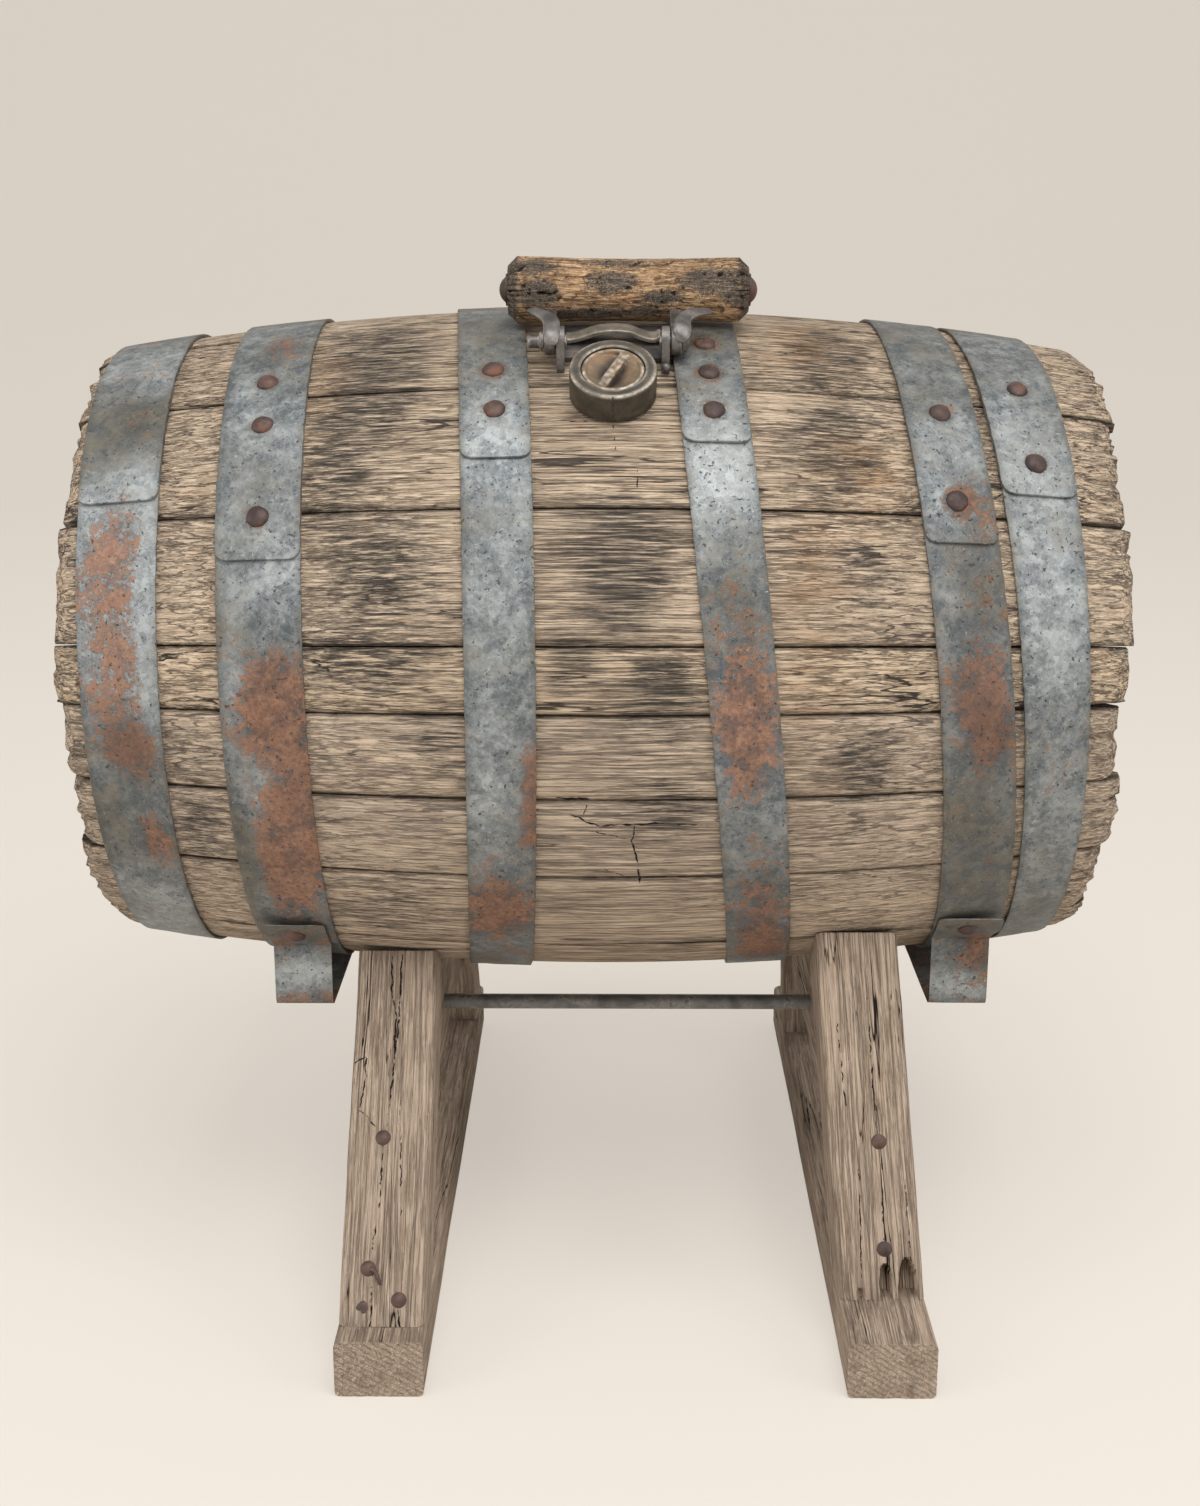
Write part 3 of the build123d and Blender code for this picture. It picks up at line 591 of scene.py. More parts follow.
def buildStave(number, start, width):
    # One board, spun from its long section, then worn
    left = -barrel["halfLength"] + staves["leftShorts"][number] * mm
    right = barrel["halfLength"] - staves["rightShorts"][number] * mm
    inLeft, inRight = left + staves["chimeBevel"], right - staves["chimeBevel"]
    outline = [(x, outerRadius(x)) for x in spread(left, right, staves["alongCuts"])]
    outline.append((right, outerRadius(right) - staves["chimeFace"]))
    outline += [(x, outerRadius(x) - barrel["wall"]) for x in spread(inRight, inLeft, staves["innerCuts"])]
    outline.append((left, outerRadius(left) - staves["chimeFace"]))
    bm = bmesh.new()
    section = bm.faces.new([bm.verts.new((x, 0, r)) for x, r in outline])
    steps = max(6, round(width / staves["cutDegrees"]))
    bmesh.ops.spin(bm, geom=[section, *section.edges, *section.verts], cent=(0, 0, 0), axis=(1, 0, 0),
                   angle=math.radians(width), steps=steps, use_duplicate=False)
    seed = Vector((0, 0, 7.3 * (number + 1)))
    tone = bm.verts.layers.float_color.new("boardToneAndShade")
    span = math.radians(width)
    seamRows = staves["seamRows"]
    for vert in bm.verts:
        x = vert.co.x
        radius = math.hypot(vert.co.y, vert.co.z)
        turn = math.atan2(-vert.co.y, vert.co.z)
        # The rows next to each seam move close to it, so that its edge is crisp
        row = round(turn / (span / steps))
        if row < len(seamRows):
            turn = seamRows[row] / barrel["bilgeRadius"]
        elif steps - row < len(seamRows):
            turn = span - seamRows[steps - row] / barrel["bilgeRadius"]
        across = (turn - span / 2) * barrel["bilgeRadius"]
        side = math.copysign(1, across)
        sideGap = span / 2 * barrel["bilgeRadius"] - abs(across)
        endGap = min(x - left, right - x)
        nearEnd = 1 - smoothStep(0, staves["sootReach"], endGap)
        lump = noiseAt(x * 9, across * 30, 0, seed)
        furrow = noiseAt(x * 14, across * 300, 3, seed)
        rag = noiseAt(0.7, across * 130, 5, seed) + 0.6 * noiseAt(0, across * 420, 9, seed)
        crack = max(0.0, 1 - abs(noiseAt(x * 6, across * 95, 15, seed)) / 0.06)
        crack *= 1 - smoothStep(0.3 * staves["crackReach"], staves["crackReach"], endGap)
        worn = 0.0
        if radius > outerRadius(x) - 2 * mm:
            seamDrop = staves["seamRound"] * (1 - smoothStep(0, 2.2 * mm, sideGap)) * (1 + 0.8 * lump)
            endDrop = staves["endWear"] * (1 - smoothStep(0, 5 * mm, endGap)) * (0.8 + 0.5 * rag)
            worn = max(0.0, -furrow) * staves["grooveDepth"] * (1 + 1.5 * nearEnd)
            worn += seamDrop + max(endDrop, 0) + crack * staves["crackDepth"] + max(lump, 0) * 0.5 * mm
        inset = staves["endRag"] * (0.7 + rag) + crack * 1.5 * mm
        inset *= (1 - smoothStep(0, 9 * mm, endGap)) * (0.5 if radius < outerRadius(x) - 9 * mm else 1.0)
        newX = x + (max(inset, 0) if x < 0 else -max(inset, 0))
        # The seam is open at the face and shut lower down, so that no light comes through
        shell = smoothStep(outerRadius(x) - 11 * mm, outerRadius(x) - 7 * mm, radius)
        gap = staves["seamGap"] * (1 + 0.7 * lump) * (1 - smoothStep(0, 6 * mm, sideGap)) * shell
        gap += staveGap(number, side, x) * shell * (1 - smoothStep(0, 9 * mm, sideGap))
        newTurn = turn - side * gap / barrel["bilgeRadius"]
        radius -= worn
        vert.co = Vector((newX, -radius * math.sin(newTurn), radius * math.cos(newTurn)))
        place = start - math.degrees(turn)
        soot = max(patchStrength(sootPatches, x, place), staves["endSoot"] * nearEnd)
        # Painted shade that darkens the wood next to each seam and in the cracks
        seamAndCrackShade = max(1 - smoothStep(0, 1.6 * mm, sideGap), 0.7 * crack)
        vert[tone] = (staves["tones"][number], soot, patchStrength(stainPatches, x, place), seamAndCrackShade)
    # The section was spun from straight up; turn it to its own angle
    lay = Matrix.Translation((0, 0, barrel["axisHeight"])) @ Matrix.Rotation(math.radians(90 - start), 4, "X")
    bmesh.ops.transform(bm, matrix=lay, verts=bm.verts)
    bmesh.ops.triangulate(bm, faces=[face for face in bm.faces if len(face.verts) > 4])
    order = f"{number + 1:02d}"
    addPiece("wornStave" + order, bm, woodOfStaves, "barrel", ["stave_" + order], angle=60)


fullTurn = 360 / sum(staves["widths"])
seamAngle = staves["firstSeam"]
for number, width in enumerate(staves["widths"]):
    buildStave(number, seamAngle, width * fullTurn)
    seamAngle -= width * fullTurn
print("staves done")

# Hoops: edges (mm), leans (mm of X per mm up), swing (mm of X per mm back), lap angles and rivet angles
hoopThickness = 1.7 * mm
hoopClearance = 0.15 * mm
hoops = {
    "leftChime": {"edges": (-228, -192), "leans": (-0.025, -0.015), "swing": -0.013,
                  "lap": (35, 62), "rivets": []},
    "leftQuarter": {"edges": (-166, -128), "leans": (-0.02, -0.022), "swing": -0.02,
                    "lap": (24, 64), "rivets": [58, 48, 31]},
    "leftBilge": {"edges": (-67, -36), "leans": (-0.002, 0.001), "swing": -0.072,
                  "lap": (40, 63), "rivets": [58, 49]},
    "rightBilge": {"edges": (50.6, 81), "leans": (-0.1, -0.098), "swing": -0.005,
                   "lap": (43, 69), "rivets": [65.5, 57.5, 49]},
    "rightQuarter": {"edges": (149, 182), "leans": (-0.096, -0.1), "swing": -0.021,
                     "lap": (27, 57), "rivets": [51, 34]},
    "rightChime": {"edges": (185, 215), "leans": (-0.088, -0.045), "swing": -0.03,
                   "lap": (36, 63), "rivets": [59, 42]},
}
# Wear on each hoop: angle, place across (-1 to 1), half sizes, then rust, grime, brown and pale
hoopPatches = {
    "leftChime": [(66, 0.2, 9, 0.9, 0.62, 0.1, 0, 0.45), (49, -0.1, 10, 1.2, 0.1, 1.0, 0.5, 0),
                  (50, 0.25, 5, 0.5, 0.55, 1.0, 0.9, 0), (36, 0.3, 5, 1.0, 0.1, 0.1, 0, 0.6),
                  (24, -0.1, 12, 1.0, 0.78, 0, 0, 0.55), (8, 0, 12, 1.0, 0.7, 0, 0.1, 0.5),
                  (10, 0.9, 16, 0.35, 0.15, 0, 0, 0.5), (-9, 0.15, 6.5, 0.7, 1.0, 0.7, 0.9, 0),
                  (-24, 0, 12, 1.2, 0.2, 0.85, 0.4, 0), (-25, 0.4, 7, 0.5, 0.85, 0.5, 0.25, 0),
                  (-50, 0.2, 14, 1.0, 0.25, 0.2, 0.2, 0.3)],
    "leftQuarter": [(70, 0.2, 7, 0.7, 0.7, 0.6, 0.6, 0), (42, 0, 18, 1.2, 0.05, 0.25, 0.1, 0.12),
                    (20, 0, 6, 1.2, 0, 0.15, 0, 0.3), (10, 0, 5, 1.2, 0.1, 0.8, 0.3, 0),
                    (2, 0.15, 10, 0.9, 0.95, 0.5, 0.3, 0), (2, -0.75, 9, 0.35, 0.55, 0.3, 0.1, 0.35),
                    (-14, -0.1, 6, 0.5, 0.4, 0.1, 0, 0.6), (-14, 0.7, 8, 0.5, 0.85, 0.5, 0.4, 0),
                    (-30, 0.2, 14, 0.9, 0.95, 0.4, 0.2, 0.1), (-30, -0.85, 16, 0.35, 0.3, 0.9, 0.2, 0),
                    (-56, 0, 10, 1.0, 0.5, 0.8, 0.3, 0)],
    "leftBilge": [(66, 0, 12, 1.2, 0.2, 0.75, 0.3, 0.05), (45, 0, 10, 1.2, 0.1, 0.2, 0.1, 0.35),
                  (30, 0.2, 9, 1.0, 0, 0.5, 0, 0.1), (14, -0.2, 11, 1.0, 0.05, 0.2, 0, 0.25),
                  (-12, 0.8, 9, 0.4, 0.8, 0.3, 0.7, 0), (-14, -0.3, 12, 0.7, 0.15, 0.1, 0, 0.4),
                  (-38, -0.1, 12, 1.0, 0.82, 0.5, 0.4, 0), (-58, 0, 10, 1.0, 0.5, 0.7, 0.2, 0)],
    "rightBilge": [(68, 0, 12, 1.1, 0.25, 0.8, 0.4, 0), (48, 0, 8, 1.1, 0.1, 0.2, 0.1, 0.3),
                   (36, 0, 8, 1.0, 0.05, 0.1, 0, 0.5), (18, 0.1, 10, 0.8, 0.35, 0.6, 0.5, 0),
                   (-3, 0, 13, 1.0, 0.86, 0.2, 0.1, 0.1), (-24, 0, 8, 1.0, 0.4, 0.4, 0.2, 0.25),
                   (-44, 0.1, 16, 1.0, 0.78, 0.6, 0.4, 0)],
    "rightQuarter": [(66, 0, 14, 1.1, 0.1, 0.75, 0.2, 0), (46, 0, 8, 1.1, 0.1, 0.3, 0.1, 0.2),
                     (33, 0.35, 8, 0.7, 0.6, 0.5, 0.4, 0), (20, 0.2, 8, 0.9, 0.4, 0.7, 0.8, 0),
                     (-1, 0.15, 11, 0.8, 1.0, 0.5, 0.8, 0), (-34, 0, 20, 1.2, 0.2, 1.0, 0.7, 0),
                     (-30, 0.3, 9, 0.5, 0.6, 0.8, 0.5, 0)],
    "rightChime": [(56, 0, 10, 1.0, 0.1, 0.35, 0.1, 0.15), (40, 0, 10, 1.1, 0.05, 0.1, 0, 0.4),
                   (14, 0, 14, 1.0, 0.25, 0.05, 0, 0.4), (-12, 0.2, 10, 0.7, 0.5, 0.1, 0.1, 0.2),
                   (-32, 0, 10, 1.0, 0.1, 0.35, 0.1, 0.3), (-55, 0, 16, 1.0, 0.2, 0.8, 0.3, 0)],
}
hoopMesh = {
    "across": 12,
    "along": 330,
    "ease": 13.0,
    "cornerRadius": 5 * mm,
    "edgeRound": 0.35 * mm,
    "dent": 0.35 * mm,
    "nick": 0.45 * mm,
    "plainWear": [0.3, 0.28, 0.15, 0.0],
    "backWear": [0.45, 0.5, 0.3, 0.0],
}


def nodeName(name):
    # leftChime is left_chime in the construction
    return "".join("_" + letter.lower() if letter.isupper() else letter for letter in name)


def flatStrip(across, along):
    # A closed strip to be bent, and the vertices of its lower face
    bm = bmesh.new()
    bmesh.ops.create_grid(bm, x_segments=across, y_segments=along, size=1.0)
    grown = bmesh.ops.extrude_face_region(bm, geom=list(bm.faces))["geom"]
    return bm, set(vertsOf(grown))


def blendWear(amounts, patches, along, across):
    for spot, aside, halfSpot, halfAside, *strengths in patches:
        reach = (turnApart(along, spot) / halfSpot) ** 2 + ((across - aside) / halfAside) ** 2
        weight = math.exp(-0.8 * reach)
        amounts = [old + (new - old) * weight for old, new in zip(amounts, strengths)]
    return list(amounts)


def hoopEdges(hoop, point):
    # Both edges of a hoop at a point's height and depth
    edges = []
    for edge, lean in zip(hoop["edges"], hoop["leans"]):
        edges.append(edge * mm + lean * (point.z - barrel["axisHeight"]) + hoop["swing"] * point.y)
    return edges


def hoopPoint(hoop, angle, u, standOff):
    # Point on a hoop at an angle, from its left edge (-1) to its right edge (1)
    x = sum(hoop["edges"]) / 2 * mm
    for attempt in range(3):
        left, right = hoopEdges(hoop, onBarrel(x, angle, standOff))
        x = (left + right) / 2 + u * (right - left) / 2
    return onBarrel(x, angle, standOff)


def buildHoop(name, hoop, seed):
    # One long strip that starts at the tongue, goes right round and ends under it
    bm, under = flatStrip(hoopMesh["across"], hoopMesh["along"])
    low, high = hoop["lap"]
    halfWidth = (hoop["edges"][1] - hoop["edges"][0]) / 2 * mm
    corner = hoopMesh["cornerRadius"]
    for vert in bm.verts:
        t = (vert.co.y + 1) / 2
        turned = (360 + high - low) * t * (1 - 0.93 * math.exp(-t * 60))
        angle = low + turned
        fromEnd = math.radians(turned) * barrel["bilgeRadius"]
        u = vert.co.x
        if fromEnd < corner:
            back = corner - math.sqrt(corner ** 2 - (corner - fromEnd) ** 2)
            u *= 1 - back / halfWidth
        # The upper strip lies one thickness out over the lower end, and eases down past it
        layer = 1 - smoothStep(high - low, high - low + hoopMesh["ease"], turned)
        height = hoopClearance + layer * (hoopThickness + 0.1 * mm)
        if vert not in under:
            bump = noiseAt(angle * 0.09, u * 1.2, seed) + 0.5 * noiseAt(angle * 0.3, u * 3, seed)
            height += hoopThickness - max(bump, 0) * hoopMesh["dent"]
        nick = noiseAt(angle * 0.5, math.copysign(4, u), seed + 3) * hoopMesh["nick"] * abs(u) ** 6
        vert.co = hoopPoint(hoop, angle, u, height) + Vector((nick, 0, 0))
    bevelSharp(bm, hoopMesh["edgeRound"], 2)
    wear = bm.verts.layers.float_color.new("hoopWear")
    for vert in bm.verts:
        angle = angleOf(vert.co)
        left, right = hoopEdges(hoop, vert.co)
        u = 2 * (vert.co.x - left) / (right - left) - 1
        amounts = blendWear(hoopMesh["plainWear"], hoopPatches[name], angle, u)
        if abs(angle) > 85:
            amounts = list(hoopMesh["backWear"])
        for rivetAngle in hoop["rivets"]:
            gap = (vert.co - hoopPoint(hoop, rivetAngle, 0, hoopThickness)).length
            amounts[0] += 0.34 * math.exp(-((gap - 5.6 * mm) / (2.4 * mm)) ** 2)
            amounts[3] += 0.25 * math.exp(-((gap - 8.5 * mm) / (2 * mm)) ** 2)
            amounts[1] += 0.4 * math.exp(-(gap / (6 * mm)) ** 2)
        # Darker along both edges: partly grime, partly painted shade where the edge stands off the wood
        amounts[1] += 0.35 * max(0, abs(u) - 0.8) / 0.2
        vert[wear] = amounts
    piece = "hoop" + name[0].upper() + name[1:]
    addPiece(piece, bm, metalOfHoops, "barrel", [nodeName(piece)])


for order, (name, hoop) in enumerate(hoops.items()):
    buildHoop(name, hoop, 11.0 * order)

rivetHead = {"radius": 5.0 * mm, "height": 2.3 * mm, "steps": 20, "rough": 0.45 * mm}


def spinProfile(bm, points, steps, merge=True):
    # Spin radius and height pairs right round Z
    verts = [bm.verts.new((r, 0, z)) for r, z in points]
    edges = [bm.edges.new(pair) for pair in zip(verts, verts[1:])]
    bmesh.ops.spin(bm, geom=verts + edges, cent=(0, 0, 0), axis=(0, 0, 1), angle=math.radians(360),
                   steps=steps, use_merge=True, use_duplicate=False)
    if merge:
        bmesh.ops.remove_doubles(bm, verts=bm.verts, dist=1e-6)


def addRivetHead(bm, centre, direction, radius, height, seed):
    # A hammered dome: a spun quarter profile with uneven sides
    turns = [math.radians(angle) for angle in spread(0, 90, 6)]
    points = [(radius * math.sin(a), height * math.cos(a)) for a in turns] + [(radius, -0.6 * mm)]
    spinProfile(bm, points, rivetHead["steps"], merge=False)
    facing = direction.to_track_quat("Z", "Y").to_matrix()
    shift = Vector((0, 0, seed))
    for vert in {vert for face in bm.faces if not face.tag for vert in face.verts}:
        turn = math.atan2(vert.co.y, vert.co.x)
        uneven = 1 + 0.07 * noiseAt(2 * math.cos(turn), 2 * math.sin(turn), seed)
        lump = rivetHead["rough"] * noise.noise(vert.co * 330 + shift)
        vert.co = centre + facing @ Vector((vert.co.x * uneven, vert.co.y * uneven, vert.co.z + lump))
    for face in bm.faces:
        face.tag = True


def finePath(points, step):
    # The same line with points no further apart than a step
    path = [points[0]]
    for start, end in zip(points, points[1:]):
        cuts = max(1, math.ceil(math.dist(start, end) / step))
        path += list(zip(spread(start[0], end[0], cuts), spread(start[1], end[1], cuts)))[1:]
    return path


def surfaceNormal(x, angle):
    slope = math.asin(x / arcRadius)
    a = math.radians(angle)
    return Vector((math.sin(slope), -math.cos(a) * math.cos(slope), math.sin(a) * math.cos(slope)))


def buildRivets():
    bm = bmesh.new()
    seed = 0.0
    for hoop in hoops.values():
        for angle in hoop["rivets"]:
            seed += 5.3
            centre = hoopPoint(hoop, angle, 0, hoopClearance + 2 * hoopThickness + 0.1 * mm)
            outward = surfaceNormal(centre.x, angle)
            addRivetHead(bm, centre, outward, rivetHead["radius"], rivetHead["height"], seed)
    addPiece("hoopRivets", bm, metal["rustyRivet"], "barrel", ["hoop_rivets"], angle=80)


buildRivets()

# Strap feet: one band down from the hoop, under the belly and up again behind
foot = {
    "thickness": 3 * mm,
    "tabLow": 2.15 * mm,
    "topAngle": -44.0,
    "tabEnd": -54.0,
    "bottom": 139 * mm,
    "bend": 3.5 * mm,
    "halfWidth": 15.5 * mm,
    "waist": 1.6 * mm,
    "corner": 4.5 * mm,
    "across": 14,
    "plainWear": [0.5, 0.5, 0.3, 0.0],
}
# Wear on the feet: share of the band's length, then as on the hoops
footPatches = [
    (0.04, 0.0, 0.05, 1.6, 0.45, 0.9, 0.4, 0.0), (0.10, -0.5, 0.035, 0.5, 0.7, 0.6, 0.5, 0.0),
    (0.17, 0.2, 0.02, 1.2, 0.3, 0.2, 0.1, 0.9), (0.25, -0.3, 0.05, 0.8, 0.72, 0.2, 0.3, 0.5),
    (0.27, 0.7, 0.05, 0.4, 0.8, 0.4, 0.2, 0.1), (0.33, 0.0, 0.03, 1.4, 0.4, 0.5, 0.3, 0.3),
]


def footPath(x):
    # Middle line of the band in the YZ plane, from the front tab to the middle of the bottom
    radius = outerRadius(x) + foot["tabLow"] + foot["thickness"] / 2
    turns = [math.radians(angle) for angle in spread(foot["topAngle"], foot["tabEnd"], 14)]
    points = [(-radius * math.cos(a), barrel["axisHeight"] + radius * math.sin(a)) for a in turns]
    side, low, bend = points[-1][0], foot["bottom"] + foot["thickness"] / 2, foot["bend"]
    points += arc(bend, 180, 270, 6, (side + bend, low + bend)) + [(0.0, low)]
    return finePath(points, 1.0 * mm)


def buildStrapFoot(side):
    name = "strapFoot" + side.capitalize()
    inward = 1 if side == "left" else -1
    x = boxCentre(nodeName(name)).x
    half = footPath(x)
    path = half + [(-y, z) for y, z in reversed(half[:-1])]
    cuts = len(path) - 1
    bm, under = flatStrip(foot["across"], cuts)
    wear = bm.verts.layers.float_color.new("hoopWear")
    corner, thickness = foot["corner"], foot["thickness"]
    for vert in bm.verts:
        index = min(max(round((vert.co.y + 1) / 2 * cuts), 0), cuts)
        u = vert.co.x
        y, z = path[index]
        before, after = path[max(index - 1, 0)], path[min(index + 1, cuts)]
        normal = Vector((0, before[1] - after[1], after[0] - before[0])).normalized()
        fromEnd = min(index, cuts - index) * mm
        width = foot["halfWidth"]
        if fromEnd < corner:
            width -= corner - math.sqrt(corner ** 2 - (corner - fromEnd) ** 2)
        place = u * width
        # The band is narrower on its outer side below the tab
        if u * inward < 0:
            place += inward * 2 * foot["waist"] * smoothStep(14 * mm, 24 * mm, fromEnd) * abs(u)
        lump = noiseAt(u * 1.6, y * 60, z * 60, Vector((0, 0, 3 * inward)))
        depth = -thickness / 2 if vert in under else thickness / 2 - 0.25 * mm * max(0, lump)
        curl = 0.5 * mm * (1 - smoothStep(0, 2.5 * mm, fromEnd))
        vert.co = Vector((x + place, y, z)) - normal * (depth + curl)
        share = index / cuts if index < cuts / 2 else 1 - index / cuts
        amounts = blendWear(foot["plainWear"], footPatches, share, u * inward)
        if fromEnd < 1.2 * mm:
            amounts[1], amounts[3] = 0.0, 1.0
        vert[wear] = amounts
    addPiece(name, bm, metalOfHoops, "barrel", [nodeName(name)])


for side in ("left", "right"):
    buildStrapFoot(side)
print("hoops done")


def curvePoint(points, t):
    # Catmull-Rom through rows of numbers
    last = len(points) - 1
    index = min(int(t), last - 1)
    f = t - index
    p0, p1, p2, p3 = (points[min(max(index + k, 0), last)] for k in (-1, 0, 1, 2))
    return [0.5 * (2 * b + (c - a) * f + (2 * a - 5 * b + 4 * c - d) * f * f
                   + (3 * b - a - 3 * c + d) * f ** 3) for a, b, c, d in zip(p0, p1, p2, p3)]


def sweepBar(bm, rows, frameAt, sides=20, cuts=8, power=0.55):
    # A rounded flat bar along a path: frameAt turns a row into a place, and gives the thin direction
    steps = (len(rows) - 1) * cuts
    loops = []
    places = [frameAt(curvePoint(rows, step / cuts)) for step in range(steps + 1)]
    for step, (place, thin, width, thickness) in enumerate(places):
        run = (places[min(step + 1, steps)][0] - places[max(step - 1, 0)][0]).normalized()
        wide = run.cross(thin).normalized()
        flat = wide.cross(run).normalized()
        end = min(step, steps - step) / cuts
        shrink = math.sqrt(max(0.0, 1 - (1 - min(end / 0.5, 1)) ** 2)) * 0.55 + 0.45
        loop = []
        for side in range(sides):
            a = 2 * math.pi * side / sides
            c, n = math.cos(a), math.sin(a)
            u = math.copysign(abs(c) ** power, c) * width / 2 * shrink
            v = math.copysign(abs(n) ** power, n) * thickness / 2 * shrink
            loop.append(bm.verts.new(place + wide * u + flat * v))
        loops.append(loop)
    for first, second in zip(loops, loops[1:]):
        for side in range(sides):
            following = (side + 1) % sides
            bm.faces.new((first[side], first[following], second[following], second[side]))
    bm.faces.new(loops[0])
    bm.faces.new(loops[-1])
    return loops


# Stand: the same leg and seat geometry as the construction, in worn timber
stand = {
    "sleeperHalf": 215 * mm,
    "sleeperWidth": 40 * mm,
    "sleeperHeight": 27 * mm,
    "sleeperRounding": 2.5 * mm,
    "sleeperCuts": (260, 18),
    "legWidth": 39 * mm,
    "legDepth": 36 * mm,
    "legCuts": (180, 24),
    "brokenLegCuts": (250, 44),
    "legReach": (-40 * mm, 250 * mm),
    "seatClearance": 0.3 * mm,
    "jointGap": 0.2 * mm,
    "legRounding": 2.2 * mm,
}
trestles = {
    "left": {"x": -95 * mm, "setback": 13 * mm, "lean": 38, "splay": 0.0, "seatAngle": -52,
             "bellyPlace": 65.5 * mm},
    "right": {"x": 134.5 * mm, "setback": 38 * mm, "lean": 24, "splay": -0.06, "seatAngle": -47,
              "bellyPlace": 105 * mm},
}
# Broken-out hollows at the foot of the right front leg: place across, half width, height, depth
legArches = [(2.2 * mm, 3.0 * mm, 15 * mm, 9 * mm), (12.4 * mm, 4.2 * mm, 17 * mm, 10 * mm),
             (-10 * mm, 1.6 * mm, 5 * mm, 3 * mm)]


def timberBlock(width, depth, low, high, rounding, alongCuts, acrossCuts):
    # A squared timber along Z with rounded long edges and a fine grid on its sides
    bm = bmesh.new()
    bmesh.ops.create_cube(bm, size=1.0)
    bmesh.ops.scale(bm, vec=(width, depth, high - low), verts=bm.verts)
    bmesh.ops.translate(bm, vec=(0, 0, (low + high) / 2), verts=bm.verts)

    def rise(edge):
        return abs(edge.verts[0].co.z - edge.verts[1].co.z)

    upright = [edge for edge in bm.edges if rise(edge) > mm]
    bmesh.ops.bevel(bm, geom=upright, offset=rounding, segments=3, profile=0.5, affect="EDGES", material=-1)
    upright = [edge for edge in bm.edges if rise(edge) > mm]
    bmesh.ops.subdivide_edges(bm, edges=upright, cuts=alongCuts, use_grid_fill=True)
    rungs = [edge for edge in bm.edges if edge.calc_length() > 4 * rounding and rise(edge) < 0.01 * mm]
    bmesh.ops.subdivide_edges(bm, edges=rungs, cuts=acrossCuts, use_grid_fill=True)
    return bm


def wearTimber(bm, width, depth, seed, groove=0.4 * mm, lump=0.7 * mm):
    # Open grain, soft hollows and bruised corners, all inwards
    place = bm.verts.layers.float_vector.new("grainPlace")
    sawn = bm.verts.layers.float.new("sawnEnd")
    top = max(vert.co.z for vert in bm.verts)
    bm.normal_update()
    moves = []
    for vert in bm.verts:
        x, y, z = vert.co
        vert[place] = (z, x + seed, y)
        vert[sawn] = 1.0 if abs(z) > top - 0.4 * mm else 0.0
        furrow = noiseAt(x * 260, y * 260, z * 9 + seed)
        hollow = noiseAt(x * 26, y * 26, z * 11 + 2 * seed)
        corner = smoothStep(0.8, 1.0, min(abs(x) / (width / 2), abs(y) / (depth / 2)))
        bruise = max(0, noiseAt(x * 12, y * 12, z * 40 + 3 * seed) + 0.1) * corner * 2.2 * mm
        moves.append(max(0, -furrow) * groove + max(0, hollow) * lump + bruise)
    for vert, move in zip(bm.verts, moves):
        vert.co -= vert.normal * move


def cutFlat(bm, point, normal):
    # Cut off what lies beyond a plane and close the cut
    geom = [*bm.verts, *bm.edges, *bm.faces]
    cut = bmesh.ops.bisect_plane(bm, geom=geom, dist=1e-7, plane_co=point, plane_no=normal, clear_outer=True)
    rim = [item for item in cut["geom_cut"] if isinstance(item, bmesh.types.BMEdge)]
    bmesh.ops.holes_fill(bm, edges=rim, sides=0)


def legMatrix(trestle, front):
    along = Vector((trestle["splay"], -front * math.tan(math.radians(trestle["lean"])), 1)).normalized()
    acrossX = (Vector((1, 0, 0)) - along * along.x).normalized()
    acrossY = along.cross(acrossX)
    turn = Matrix((acrossX, acrossY, along)).transposed().to_4x4()
    footY = front * (stand["sleeperHalf"] - trestle["setback"])
    return Matrix.Translation((trestle["x"], footY, stand["sleeperHeight"])) @ turn


# Cracks in the front legs: distance across, distance up the leg, then the half width in mm
legCracks = {
    "left": [
        ([(-3.0, 176), (-1.9, 153.5), (0.2, 149), (0.7, 123.6), (-1.8, 89.6), (-2.9, 82)], 0.5),
        ([(2.0, 176), (2.0, 150), (1.2, 130)], 0.45),
        ([(-2.9, 82), (-3.3, 52.5), (-6.3, 28.9)], 0.4),
        ([(-20.4, 120.6), (-13.0, 125), (-12.5, 115.8), (-14.5, 99), (-5.6, 90.6)], 0.4),
        ([(7.4, 7.7), (9.3, -5.4)], 0.45), ([(-5.1, 23), (-4.7, -4.6)], 0.4), ([(4.1, 104), (8.3, 30)], 0.28),
    ],
    "right": [
        ([(-12.2, 134), (-10.5, 78)], 0.35), ([(2.8, 145), (2.6, 77.4)], 0.4), ([(4.2, 67), (2.6, 27)], 0.4),
        ([(3.0, 19.4), (4.3, 12.5)], 0.5), ([(14.4, 54), (14.2, 8.4)], 0.35), ([(-6.8, 64), (-9.2, 5)], 0.35),
    ],
}


def onFrontLeg(side, across, lift, up):
    # Place on a front leg's face, in mm from its foot
    return legMatrix(trestles[side], -1) @ Vector((across * mm, -lift * mm, up * mm))


frontCracks = [([onFrontLeg(side, across, -0.3, up) for across, up in places], width)
               for side, lines in legCracks.items() for places, width in lines]
standWood = timberMaterial("standWood", standFinish, across=1.35, splits=0.8, cracks=frontCracks)


